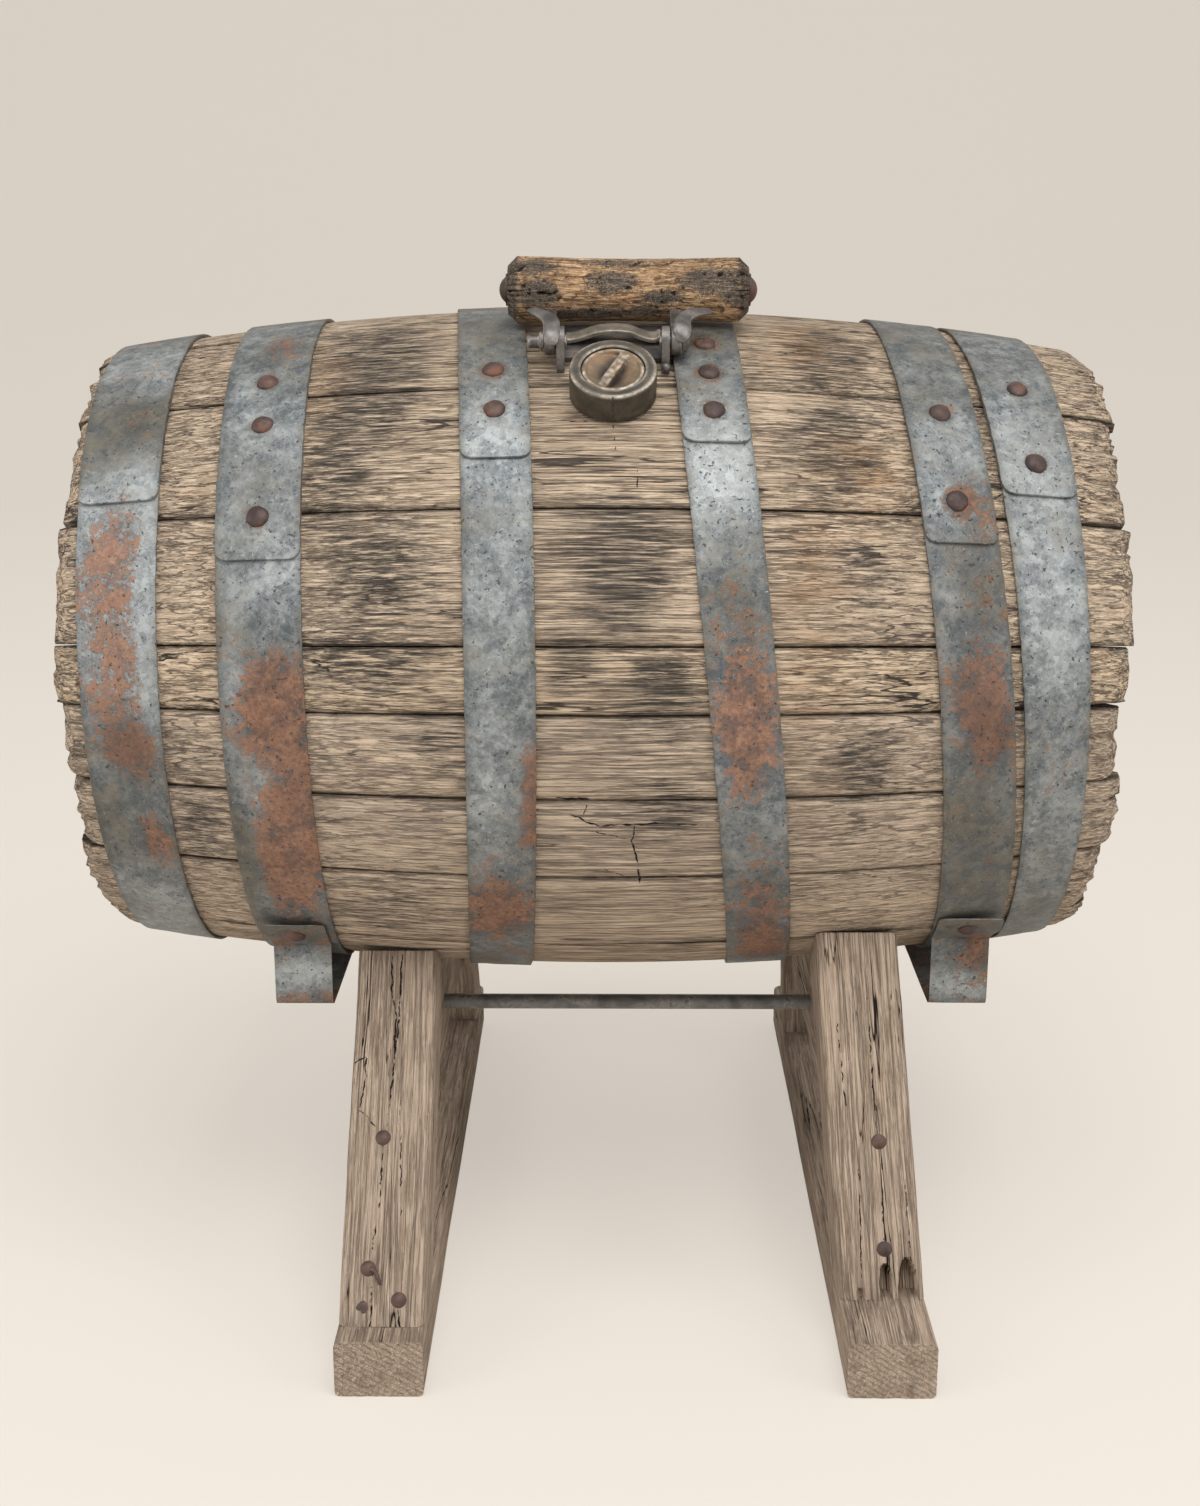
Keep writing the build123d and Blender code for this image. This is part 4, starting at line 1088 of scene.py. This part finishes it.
def buildLeg(side, front, seed):
    trestle = trestles[side]
    width, depth = stand["legWidth"], stand["legDepth"]
    broken = side == "right" and front < 0
    cuts = stand["brokenLegCuts"] if broken else stand["legCuts"]
    bm = timberBlock(width, depth, *stand["legReach"], stand["legRounding"], *cuts)
    wearTimber(bm, width, depth, seed)
    for vert in [vert for vert in bm.verts if broken and vert.co.y <= -depth / 2 + 3 * mm]:
        for place, half, height, hollow in legArches:
            up = max(vert.co.z - 1 * mm, 0.0)
            wall = 0.7 * mm * noiseAt(vert.co.x * 300, vert.co.z * 200, 6.0)
            inside = half * math.sqrt(max(0.0, 1 - (up / height) ** 3)) - abs(vert.co.x - place) + wall
            vert.co.y += hollow * smoothStep(-0.2 * mm, 0.8 * mm, inside) if up < height else 0.0
    bmesh.ops.translate(bm, vec=(0, -front * depth / 2, 0), verts=bm.verts)
    bmesh.ops.transform(bm, matrix=legMatrix(trestle, front), verts=bm.verts)
    outward = outwardAt(trestle["seatAngle"] if front < 0 else 180 - trestle["seatAngle"])
    reach = outerRadius(trestle["bellyPlace"]) + stand["seatClearance"]
    cutFlat(bm, Vector((trestle["x"], 0, barrel["axisHeight"])) + outward * reach, -outward)
    cutFlat(bm, Vector((0, 0, stand["sleeperHeight"] + stand["jointGap"] / 2)), Vector((0, 0, -1)))
    name = "leg" + side.capitalize() + ("Front" if front < 0 else "Rear")
    addPiece(name, bm, standWood, "stand", ["stand_" + nodeName(name)], angle=50)


def buildSleeper(side, seed):
    # Along Y: the block is made upright and laid down
    half, width, height = stand["sleeperHalf"], stand["sleeperWidth"], stand["sleeperHeight"]
    bm = timberBlock(width, height, -half, half, stand["sleeperRounding"], *stand["sleeperCuts"])
    wearTimber(bm, width, height, seed, 0.3 * mm, 0.4 * mm)
    lay = Matrix.Translation((trestles[side]["x"], 0, height / 2)) @ Matrix.Rotation(quarterTurn, 4, "X")
    bmesh.ops.transform(bm, matrix=lay, verts=bm.verts)
    name = "sleeper" + side.capitalize()
    addPiece(name, bm, sleeperWood, "stand", ["stand_" + nodeName(name)], angle=50)


for order, side in enumerate(trestles):
    for front in (-1, 1):
        buildLeg(side, front, 3.1 * order + 1.7 * front + 5)
    buildSleeper(side, 2.3 * order + 1)


# Across, up the leg and out of it, then width and thickness, in mm
bentNail = {
    "path": [(-6.2, 26.0, 0.7, 2.4, 1.6), (-5.0, 25.4, 1.0, 2.2, 1.7), (-3.4, 24.0, 0.9, 1.9, 1.6),
             (-2.2, 21.5, 0.6, 1.7, 1.5), (-1.2, 18.6, 0.3, 1.2, 1.2)],
    "oldHead": (-9.0, -0.25, 8.9),
    "oldRadius": 3.0 * mm,
    "oldHeight": 0.5 * mm,
}


def buildBentNail():
    # A nail hammered flat beside its head, and the sunk head of an older one
    bm = bmesh.new()
    outward = legMatrix(trestles["left"], -1).to_3x3() @ Vector((0, -1, 0))

    def nailFrame(row):
        across, up, lift, width, thickness = row
        return onFrontLeg("left", across, lift, up), outward, width * mm, thickness * mm

    sweepBar(bm, bentNail["path"], nailFrame, sides=12, cuts=5, power=0.8)
    for face in bm.faces:
        face.tag = True
    oldHead = onFrontLeg("left", *bentNail["oldHead"])
    addRivetHead(bm, oldHead, outward, bentNail["oldRadius"], bentNail["oldHeight"], 3.0)
    addPiece("bentNail", bm, metal["rustyRivet"], "stand", angle=60)


buildBentNail()
print("stand done")

# Bung: a ring with a broad flat rim, and a disc with a finger bar between two scoops
bung = {
    "x": 9 * mm,
    "angle": 53.5,
    "proud": 15 * mm,
    "outer": 19.5 * mm,
    "inner": 14.4 * mm,
    "floor": 9.0 * mm,
    "bore": 11.4 * mm,
    "neck": 16 * mm,
    "neckEnd": -17 * mm,
    "discRadius": 14.1 * mm,
    "discTop": 14.2 * mm,
    "discBase": 10.75 * mm,
    "shankRadius": 11.1 * mm,
    "shankEnd": -5.2 * mm,
    "barTurn": 64.0,
    "barHalf": 2.1 * mm,
    "scoopLength": 10.5 * mm,
    "scoopWidth": 8.5 * mm,
    "scoopDepth": 2.7 * mm,
    "rimWidth": 1.7 * mm,
    "steps": 160,
    "rings": 46,
}


def bungMatrix():
    out = outwardAt(bung["angle"])
    across = Vector((1, 0, 0))
    turn = Matrix((across, out.cross(across), out)).transposed().to_4x4()
    return Matrix.Translation(onBarrel(bung["x"], bung["angle"])) @ turn


def bell(distance, reach):
    return math.exp(-(distance / reach) ** 2)


def buildBungRing():
    bm = bmesh.new()
    outer, inner, top, bore = bung["outer"], bung["inner"], bung["proud"], bung["bore"]
    points = [(bore, bung["neckEnd"]), (bung["neck"], bung["neckEnd"]), (bung["neck"], 0.6 * mm),
              (outer, 0.6 * mm), (outer, top - 1.3 * mm), (outer - 0.35 * mm, top - 0.45 * mm),
              (outer - 1.1 * mm, top), (inner + 0.7 * mm, top), (inner + 0.15 * mm, top - 0.3 * mm),
              (inner, top - 0.9 * mm), (inner, bung["floor"]), (bore, bung["floor"]), (bore, bung["neckEnd"])]
    spinProfile(bm, finePath(points, 0.9 * mm), bung["steps"])
    wear = bm.verts.layers.float_color.new("wearAndShade")
    for vert in bm.verts:
        radius = math.hypot(vert.co.x, vert.co.y)
        turn = math.atan2(vert.co.y, vert.co.x)
        height = vert.co.z
        ragged = noiseAt(3 * math.cos(turn), 3 * math.sin(turn), height * 90)
        fromRim = math.hypot(radius - (outer - 0.5 * mm), height - (top - 0.4 * mm))
        fromBore = math.hypot(radius - (inner + 0.3 * mm), height - (top - 0.3 * mm))
        rub = bell(fromRim, 0.75 * mm) + 0.9 * bell(fromBore, 0.6 * mm)
        # Painted shade: dark inside the bore, and low on the outer wall where the ring meets the wood
        dark = 0.75 if radius < inner + 0.1 * mm and height < top - 0.8 * mm else 0.0
        dark = max(dark, 0.5 * (1 - smoothStep(0.6 * mm, 4 * mm, height)) if radius > outer - mm else 0.0)
        # A fine upright crack in the wall at the front
        crack = bell((turn + math.pi / 2 + 0.02 * math.sin(height * 900)) * outer, 0.35 * mm)
        if radius > outer - 0.8 * mm:
            dark = max(dark, crack)
            vert.co.x -= vert.co.x * crack * 0.02
            vert.co.y -= vert.co.y * crack * 0.02
        vert.co.z -= max(0, ragged) * 0.25 * mm if height > top - 0.5 * mm else 0.0
        vert[wear] = (max(0.0, rub * (0.6 + 0.8 * ragged)), dark, 0, 1)
    bmesh.ops.transform(bm, matrix=bungMatrix(), verts=bm.verts)
    addPiece("bungRing", bm, metal["pewterRing"], "barrel", ["bung_ferrule"], angle=50)


def discHeight(x, y):
    # Height below the rim: two scoops beside a raised bar
    turn = math.radians(bung["barTurn"])
    along = x * math.cos(turn) + y * math.sin(turn)
    aside = -x * math.sin(turn) + y * math.cos(turn)
    rim = bung["discRadius"] - bung["rimWidth"]
    inside = 1 - smoothStep(rim - 1.0 * mm, rim, math.hypot(x, y))
    # Each scoop is a wedge, deepest beside the bar; they lie towards opposite ends
    shift = along - math.copysign(2.2 * mm, aside)
    across = min((abs(aside) - bung["barHalf"]) / bung["scoopWidth"], 1.0)
    bowl = bung["scoopDepth"] * max(0.0, 1 - max(across, 0.0)) ** 1.1
    bowl *= math.sqrt(max(0.0, 1 - (shift / bung["scoopLength"]) ** 2))
    beside = smoothStep(bung["barHalf"] - 0.2 * mm, bung["barHalf"] + 0.5 * mm, abs(aside))
    lowered = 0.5 * mm * inside + bowl * beside * inside
    return lowered * (0.3 if beside < 0.5 else 1.0), beside, inside


def buildBungDisc():
    bm = bmesh.new()
    disc, base, shank = bung["discRadius"], bung["discBase"], bung["shankRadius"]
    points = [(r, bung["discTop"]) for r in spread(0, disc, bung["rings"])]
    points += [(disc, base), (shank, base), (shank, bung["shankEnd"]), (0, bung["shankEnd"])]
    spinProfile(bm, points, bung["steps"])
    wear = bm.verts.layers.float_color.new("wearAndShade")
    for vert in bm.verts:
        x, y, z = vert.co
        radius = math.hypot(x, y)
        if z < bung["discTop"] - 0.01 * mm:
            vert[wear] = (0.3 if radius > shank + mm else 0, 0, 0, 1)
            continue
        lowered, beside, inside = discHeight(x, y)
        rough = noiseAt(x * 420, y * 420, 2.0)
        edge = max(0.0, radius - disc + 0.6 * mm)
        vert.co.z -= lowered + edge * 0.7 + max(0, rough) * 0.16 * mm
        rimRub = bell(radius - (disc - 0.9 * mm), 0.6 * mm) * (0.42 + rough)
        barRub = (1 - beside) * inside * (0.28 + 0.7 * rough)
        # Painted shade: the deeper a scoop is, the darker its floor
        vert[wear] = (max(rimRub, barRub), smoothStep(1.0 * mm, 2.6 * mm, lowered) * 0.88, 0, 1)
    bmesh.ops.transform(bm, matrix=bungMatrix(), verts=bm.verts)
    addPiece("bungDisc", bm, metal["bronzeDisc"], "bung_screw", ["bung_plug"], angle=50)


buildBungRing()
buildBungDisc()

# Handle: grip, flat forged arms with bent fingers, pins and the wavy strap
handle = {
    "pivotAngle": 62.0,
    "pivotReach": 175 * mm,
    "gripHalf": 56 * mm,
    "gripChamfer": 4.2 * mm,
    "gripSteps": 150,
    "gripCuts": 130,
    "radii": [(-56, 15.5), (-44, 15.3), (-20, 14.4), (6, 14.1), (30, 14.3), (46, 14.7), (56, 14.6)],
    "cheekOuter": 25.5 * mm,
    "armGap": 0.6 * mm,
    "armThickness": 5 * mm,
    "eyeRadius": 6.1 * mm,
    "endRadius": 5.5 * mm,
    "pinHead": 4.6 * mm,
    "pinRadius": 3 * mm,
    "ballAngle": 58.2,
    "ballReach": 168.6 * mm,
    "ballRadius": 2.3 * mm,
}
# Dark crust on the grip: place along it, angle, half sizes (mm and degrees), strength
gripPatches = [
    (-42, -4, 8, 22, 1.0), (-43, 48, 10, 16, 0.75), (-8, 16, 12, 20, 0.75), (40, 20, 14, 24, 0.85),
    (16, -12, 9, 14, 0.8), (48, -6, 6, 20, 0.7), (8, -42, 9, 12, 0.8), (-20, -48, 26, 14, 0.7),
    (-6, 60, 20, 14, 0.5), (20, 120, 30, 30, 0.7), (-30, 190, 24, 40, 0.6), (34, 230, 20, 30, 0.7),
    (-54, 90, 3, 200, 0.9), (54, 90, 3, 200, 0.9),
]


def gripRadius(x):
    radii = handle["radii"]
    for (x0, r0), (x1, r1) in zip(radii, radii[1:]):
        if x / mm <= x1:
            t = min(max((x / mm - x0) / (x1 - x0), 0), 1)
            return (r0 + (r1 - r0) * t * t * (3 - 2 * t)) * mm
    return radii[-1][1] * mm


def buildGrip():
    centre = boxCentre("handle_grip")
    half, chamfer = handle["gripHalf"], handle["gripChamfer"]
    points = [(0, -half), (gripRadius(-half) - chamfer, -half)]
    points += [(gripRadius(z), z) for z in spread(-half + chamfer, half - chamfer, handle["gripCuts"])]
    points += [(gripRadius(half) - chamfer, half), (0, half)]
    bm = bmesh.new()
    spinProfile(bm, finePath(points, 0.9 * mm), handle["gripSteps"])
    marks = bm.verts.layers.float_color.new("gripMarks")
    for vert in bm.verts:
        # Spun about Z: lay it along X with the front at angle 0
        x = vert.co.z
        radius = math.hypot(vert.co.x, vert.co.y)
        turn = math.atan2(vert.co.y, vert.co.x)
        around = Vector((math.cos(turn), math.sin(turn), 0))
        crust = patchStrength(gripPatches, x, math.degrees(turn))
        furrow = noiseAt(x * 40, 0, 4, around * 5.5)
        flake = noiseAt(x * 190, 0, 9, around * 3.2)
        pit = noiseAt(x * 330, 0, 14, around * 6.5)
        endGap = half - abs(x)
        split = max(0.0, 1 - abs(noiseAt(0, 0, 20, around * 5)) / 0.09)
        split *= 1 - smoothStep(3 * mm, 12 * mm, endGap)
        holes = smoothStep(0.34, 0.48, pit) * (0.4 + crust)
        drop = 0.35 * mm * max(0, -furrow) + crust * 0.9 * mm * max(0, flake + 0.15)
        drop += holes * 1.3 * mm + split * 1.1 * mm
        if radius > 8 * mm:
            radius -= min(drop, 2.2 * mm)
        onEnd = 0.9 if endGap < chamfer * 0.75 else 0.0
        vert[marks] = (max(crust, onEnd), min(1.0, holes * 0.9 + split * 0.8), 0, 1)
        vert.co = centre + Vector((x, -radius * math.cos(turn), radius * math.sin(turn)))
    addPiece("wornGrip", bm, gripWood, "handle", ["handle_grip"], angle=60)
    return centre


gripCentre = buildGrip()
pivotTurn = math.radians(handle["pivotAngle"])
pivotCentre = Vector((bung["x"], -handle["pivotReach"] * math.cos(pivotTurn),
                      barrel["axisHeight"] + handle["pivotReach"] * math.sin(pivotTurn)))
armRun = Vector((0, gripCentre.y - pivotCentre.y, gripCentre.z - pivotCentre.z))
armForward = Vector((0, -armRun.z, armRun.y)).normalized()
# Fingers: millimetres along the arm, forward of it and outwards, then width and thickness
fingerPaths = {
    -1: [
        (-7.6, 3.4, -0.6, 6.0, 2.2), (-3.5, 5.9, -0.8, 7.4, 2.8), (1.0, 6.8, -0.8, 7.6, 3.0),
        (4.5, 7.0, -0.5, 7.5, 3.0), (7.5, 7.0, 0.6, 7.0, 2.9), (10.0, 6.8, 2.6, 6.2, 2.7),
        (12.4, 6.4, 5.0, 5.0, 2.4), (14.8, 5.9, 7.6, 3.8, 2.0), (17.2, 5.2, 10.2, 2.2, 1.5),
    ],
    1: [
        (-4.9, 3.2, 0.9, 5.2, 2.0), (-2.6, 5.4, 2.2, 7.6, 2.7), (1.0, 6.8, 2.6, 8.2, 3.0),
        (5.0, 7.0, 3.0, 7.2, 3.0), (8.5, 7.0, 4.2, 6.6, 2.9), (11.5, 6.8, 6.6, 6.2, 2.7),
        (14.2, 5.9, 9.6, 5.2, 2.4), (16.8, 4.2, 13.0, 4.0, 2.0), (19.3, 2.8, 16.4, 2.4, 1.4),
    ],
}


def hammer(bm, seed, depth=0.22 * mm, rubbed=0.0):
    # Uneven forged skin, with bright wear where a surface turns most
    bm.normal_update()
    wear = bm.verts.layers.float_color.new("wearAndShade")
    shift = Vector((0, 0, seed))
    moves = []
    for vert in bm.verts:
        dent, fine = noise.noise(vert.co * 260 + shift), noise.noise(vert.co * 700 + shift)
        moves.append(-vert.normal * depth * max(0, dent + 0.4 * fine))
        sharp = max([edge.calc_face_angle(0) for edge in vert.link_edges] or [0])
        vert[wear] = (rubbed * smoothStep(0.25, 0.9, sharp) * (0.8 + fine), 0.25 * max(0, dent), 0, 1)
    for vert, move in zip(bm.verts, moves):
        vert.co += move


def buildArm(side):
    centre = bung["x"] + side * (handle["cheekOuter"] + handle["armGap"] + handle["armThickness"] / 2)
    along, reach = armRun.normalized(), armRun.length
    # The flat link from the pivot to the rod
    ring = arc(handle["eyeRadius"], 60, 270, 14) + arc(handle["endRadius"], -90, 90, 12, (reach, 0))
    # Its front edge stands back behind the finger and enters the wood out of sight
    entry = reach - 11 * mm
    ring += [(reach - 5 * mm, 4 * mm), (entry, -0.5 * mm), (entry - 6 * mm, -0.8 * mm), (13 * mm, 1.5 * mm),
             (8 * mm, 4 * mm)]
    start = Vector((centre - handle["armThickness"] / 2, pivotCentre.y, pivotCentre.z))
    bm = bmesh.new()
    face = bm.faces.new([bm.verts.new(start + along * u + armForward * v) for u, v in ring])
    grown = bmesh.ops.extrude_face_region(bm, geom=[face])["geom"]
    bmesh.ops.translate(bm, verts=vertsOf(grown), vec=(handle["armThickness"], 0, 0))
    bevelSharp(bm, 0.7 * mm, 3, 1.2)

    def fingerFrame(row):
        u, v, out, width, thickness = row
        place = Vector((centre, pivotCentre.y, pivotCentre.z)) + along * u * mm + armForward * v * mm
        place.x += side * out * mm
        # It turns edge-on slightly as it bends outwards
        thin = (armForward + Vector((side * 0.03 * out, 0, 0))).normalized()
        return place, thin, width * mm, thickness * mm

    sweepBar(bm, fingerPaths[side], fingerFrame)
    hammer(bm, 4.0 * side, rubbed=0.75)
    name = "left" if side < 0 else "right"
    addPiece("forgedArm" + name.capitalize(), bm, metal["forgedIron"], "handle",
             ["handle_arm_" + name], angle=45)


for side in (-1, 1):
    buildArm(side)

# The wavy strap: place between the cheeks and height over its middle line
strap = {
    "path": [(-21.9, -0.9), (-19.5, -1.1), (-14, 0.2), (-8.5, 2.3), (-3, 3.2), (2.5, 3.3), (8, 2.6),
             (13, 0.4), (17.5, -0.9), (20.4, -0.3), (21.9, 1.4)],
    "angle": 66.5,
    "width": 7.6 * mm,
    "thickness": 2.3 * mm,
}


def buildStrap():
    centre = boxCentre("handle_bridge_strip")
    out = outwardAt(strap["angle"])
    bm = bmesh.new()

    def strapFrame(row):
        place = centre + Vector((row[0] * mm, 0, 0)) + out * row[1] * mm
        return place, out, strap["width"], strap["thickness"]

    sweepBar(bm, strap["path"], strapFrame, sides=24, cuts=10, power=0.3)
    hammer(bm, 9.0, 0.12 * mm, rubbed=1.0)
    addPiece("wavyStrap", bm, metal["wornStrap"], "barrel", ["handle_bridge_strip"], angle=45)


def buildPins():
    # Pivot pins: a rubbed domed head, a long shank end on the left and a small ball on the right
    bm = bmesh.new()
    head, shank = handle["pinHead"], handle["pinRadius"]
    for side in (-1, 1):
        inner = bung["x"] + side * (handle["cheekOuter"] - 4.5 * mm)
        armFace = bung["x"] + side * (handle["cheekOuter"] + 2 * handle["armGap"] + handle["armThickness"])
        length = abs(armFace - inner)
        points = [(0, 0), (2.6 * mm, 0), (shank, 0.4 * mm), (shank, length)]
        if side < 0:
            points += [(head, length), (head, length + 1.2 * mm), (head - 0.5 * mm, length + 1.7 * mm),
                       (2.9 * mm, length + 1.8 * mm), (2.9 * mm, length + 6.4 * mm),
                       (2.4 * mm, length + 7 * mm), (0, length + 7 * mm)]
        else:
            turns = [math.radians(angle) for angle in spread(0, 90, 6)]
            points += [(head * math.cos(a), length + 3.2 * mm * math.sin(a)) for a in turns]
        part = bmesh.new()
        spinProfile(part, finePath(points, 1.0 * mm), 28)
        turn = Matrix.Rotation(math.radians(90 * side), 4, "Y")
        place = Matrix.Translation((inner, pivotCentre.y, pivotCentre.z)) @ turn
        bmesh.ops.transform(part, matrix=place, verts=part.verts)
        scratch = bpy.data.meshes.new("pinPart")
        part.to_mesh(scratch)
        part.free()
        bm.from_mesh(scratch)
        bpy.data.meshes.remove(scratch)
    ball = Vector((bung["x"] + handle["cheekOuter"] - 1.7 * mm, 0, barrel["axisHeight"]))
    place = Matrix.Translation(ball + outwardAt(handle["ballAngle"]) * handle["ballReach"])
    bmesh.ops.create_uvsphere(bm, u_segments=24, v_segments=14, radius=handle["ballRadius"], matrix=place)
    hammer(bm, 2.0, 0.15 * mm, rubbed=0.6)
    addPiece("pivotPins", bm, metal["forgedIron"], "barrel", ["handle_pivot_pins"], angle=45)


buildStrap()
buildPins()
print("bung and handle done")

bolsterWood = timberMaterial("bolsterWood", standFinish, (0, 0, quarterTurn))
dress(woodOfHeads, *[name for name in nodes if name.startswith("head_")])
dress(metal["rustyRivet"], "strap_foot_rivets", "stand_nails", "handle_grip_rod", "handle_grip_washers")
dress(metal["forgedIron"], "handle_bracket")
dress(metal["oldRubber"], "bung_gasket")
dress(metal["darkRod"], "stand_tie_rod", "stand_tie_rod_nuts")
dress(bolsterWood, "stand_bolster_left", "stand_bolster_right")

# Floor, backdrop, light and camera
stage = {
    "width": 9.0,
    "front": -3.0,
    "bend": 2.6,
    "bendRadius": 1.6,
    "height": 5.0,
    "paper": (0.80, 0.745, 0.67),
    "low": (0.86, 0.80, 0.725),
    "high": (0.755, 0.70, 0.625),
    "glow": 0.58,
}


def paperMaterial():
    # What the camera sees of the sheet is mostly a glow in place of lit paper, with painted shading that
    # darkens upwards
    material, place, shader = newMaterial("studioPaper")
    tree = place.tree
    setInputs(shader, {"Base Color": stage["paper"], "Roughness": 0.95, "Specular IOR Level": 0.1})
    depth = addNode(tree, "ShaderNodeSeparateXYZ", {0: place})
    # Painted shading: lighter low down and near the front, darker higher up
    tone = (depth["Z"] + depth["Y"] * 0.25).remap(0.0, 1.2).between(stage["low"], stage["high"])
    glow = addNode(tree, "ShaderNodeEmission", {"Color": tone})
    path = addNode(tree, "ShaderNodeLightPath")
    seen = path["Is Camera Ray"].maths("MAXIMUM", path["Is Glossy Ray"])
    seen = seen.maths("MAXIMUM", path["Is Transmission Ray"])
    paper = Field(shader.outputs[0])
    blend = addNode(tree, "ShaderNodeMixShader", {0: seen * stage["glow"], 1: paper, 2: glow[0]})
    setInputs(tree.nodes["Material Output"], {"Surface": blend[0]})
    return material


def buildStage():
    # A sheet that runs along the floor and curves up behind
    bend, radius = stage["bend"], stage["bendRadius"]
    path = [(stage["front"], 0.0), *arc(radius, -90, 0, 12, (bend, radius))]
    path.append((bend + radius, stage["height"]))
    bm = bmesh.new()
    verts = [bm.verts.new((-stage["width"] / 2, y, z)) for y, z in path]
    edges = [bm.edges.new(pair) for pair in zip(verts, verts[1:])]
    grown = bmesh.ops.extrude_edge_only(bm, edges=edges)["geom"]
    bmesh.ops.translate(bm, verts=vertsOf(grown), vec=(stage["width"], 0, 0))
    sheet = meshObject("studioSheet", bm, paperMaterial())


def addLamp(name, place, target, size, power, colour):
    lamp = bpy.data.lights.new(name, "AREA")
    lamp.shape = "DISK"
    lamp.size = size
    lamp.energy = power
    lamp.color = colour
    holder = linkObject(name, lamp)
    holder.visible_camera = False
    holder.location = place
    holder.rotation_euler = (Vector(target) - Vector(place)).to_track_quat("-Z", "Y").to_euler()


# Soft boxes: place, target, size, power and colour
lamps = {
    "topSoftbox": ((0.2, -1.1, 2.3), (0, 0, 0.3), 1.6, 34, (1, 0.985, 0.96)),
    "leftSoftbox": ((-1.9, -1.3, 1.1), (0, 0, 0.3), 1.2, 12, (1, 1, 1)),
    "rightSoftbox": ((2.0, -1.2, 1.3), (0, 0, 0.3), 1.2, 12, (1, 1, 1)),
}
room = {"Color": (1.0, 0.985, 0.96), "Strength": 0.62}


def buildLight():
    world = bpy.data.worlds.new("softRoom")
    bpy.context.scene.world = world
    world.use_nodes = True
    setInputs(world.node_tree.nodes["Background"], room)
    for name, lamp in lamps.items():
        addLamp(name, *lamp)


camera = {
    "place": (9.5 * mm, -1006 * mm, 511 * mm),
    "down": 15.0,
    "left": 0.4,
    "focalPixels": 2000,
    "imageHeight": 1506,
    "sensor": 36.0,
}


def buildCamera():
    data = bpy.data.cameras.new("photoCamera")
    data.sensor_fit = "VERTICAL"
    data.sensor_height = camera["sensor"]
    data.sensor_width = camera["sensor"]
    data.lens = camera["sensor"] * camera["focalPixels"] / camera["imageHeight"]
    holder = linkObject("photoCamera", data)
    holder.location = camera["place"]
    holder.rotation_euler = (math.radians(90 - camera["down"]), 0, math.radians(camera["left"]))
    bpy.context.scene.camera = holder


buildStage()
buildLight()
buildCamera()
bpy.context.scene.view_settings.view_transform = "Standard"
print("stage, light and camera done")
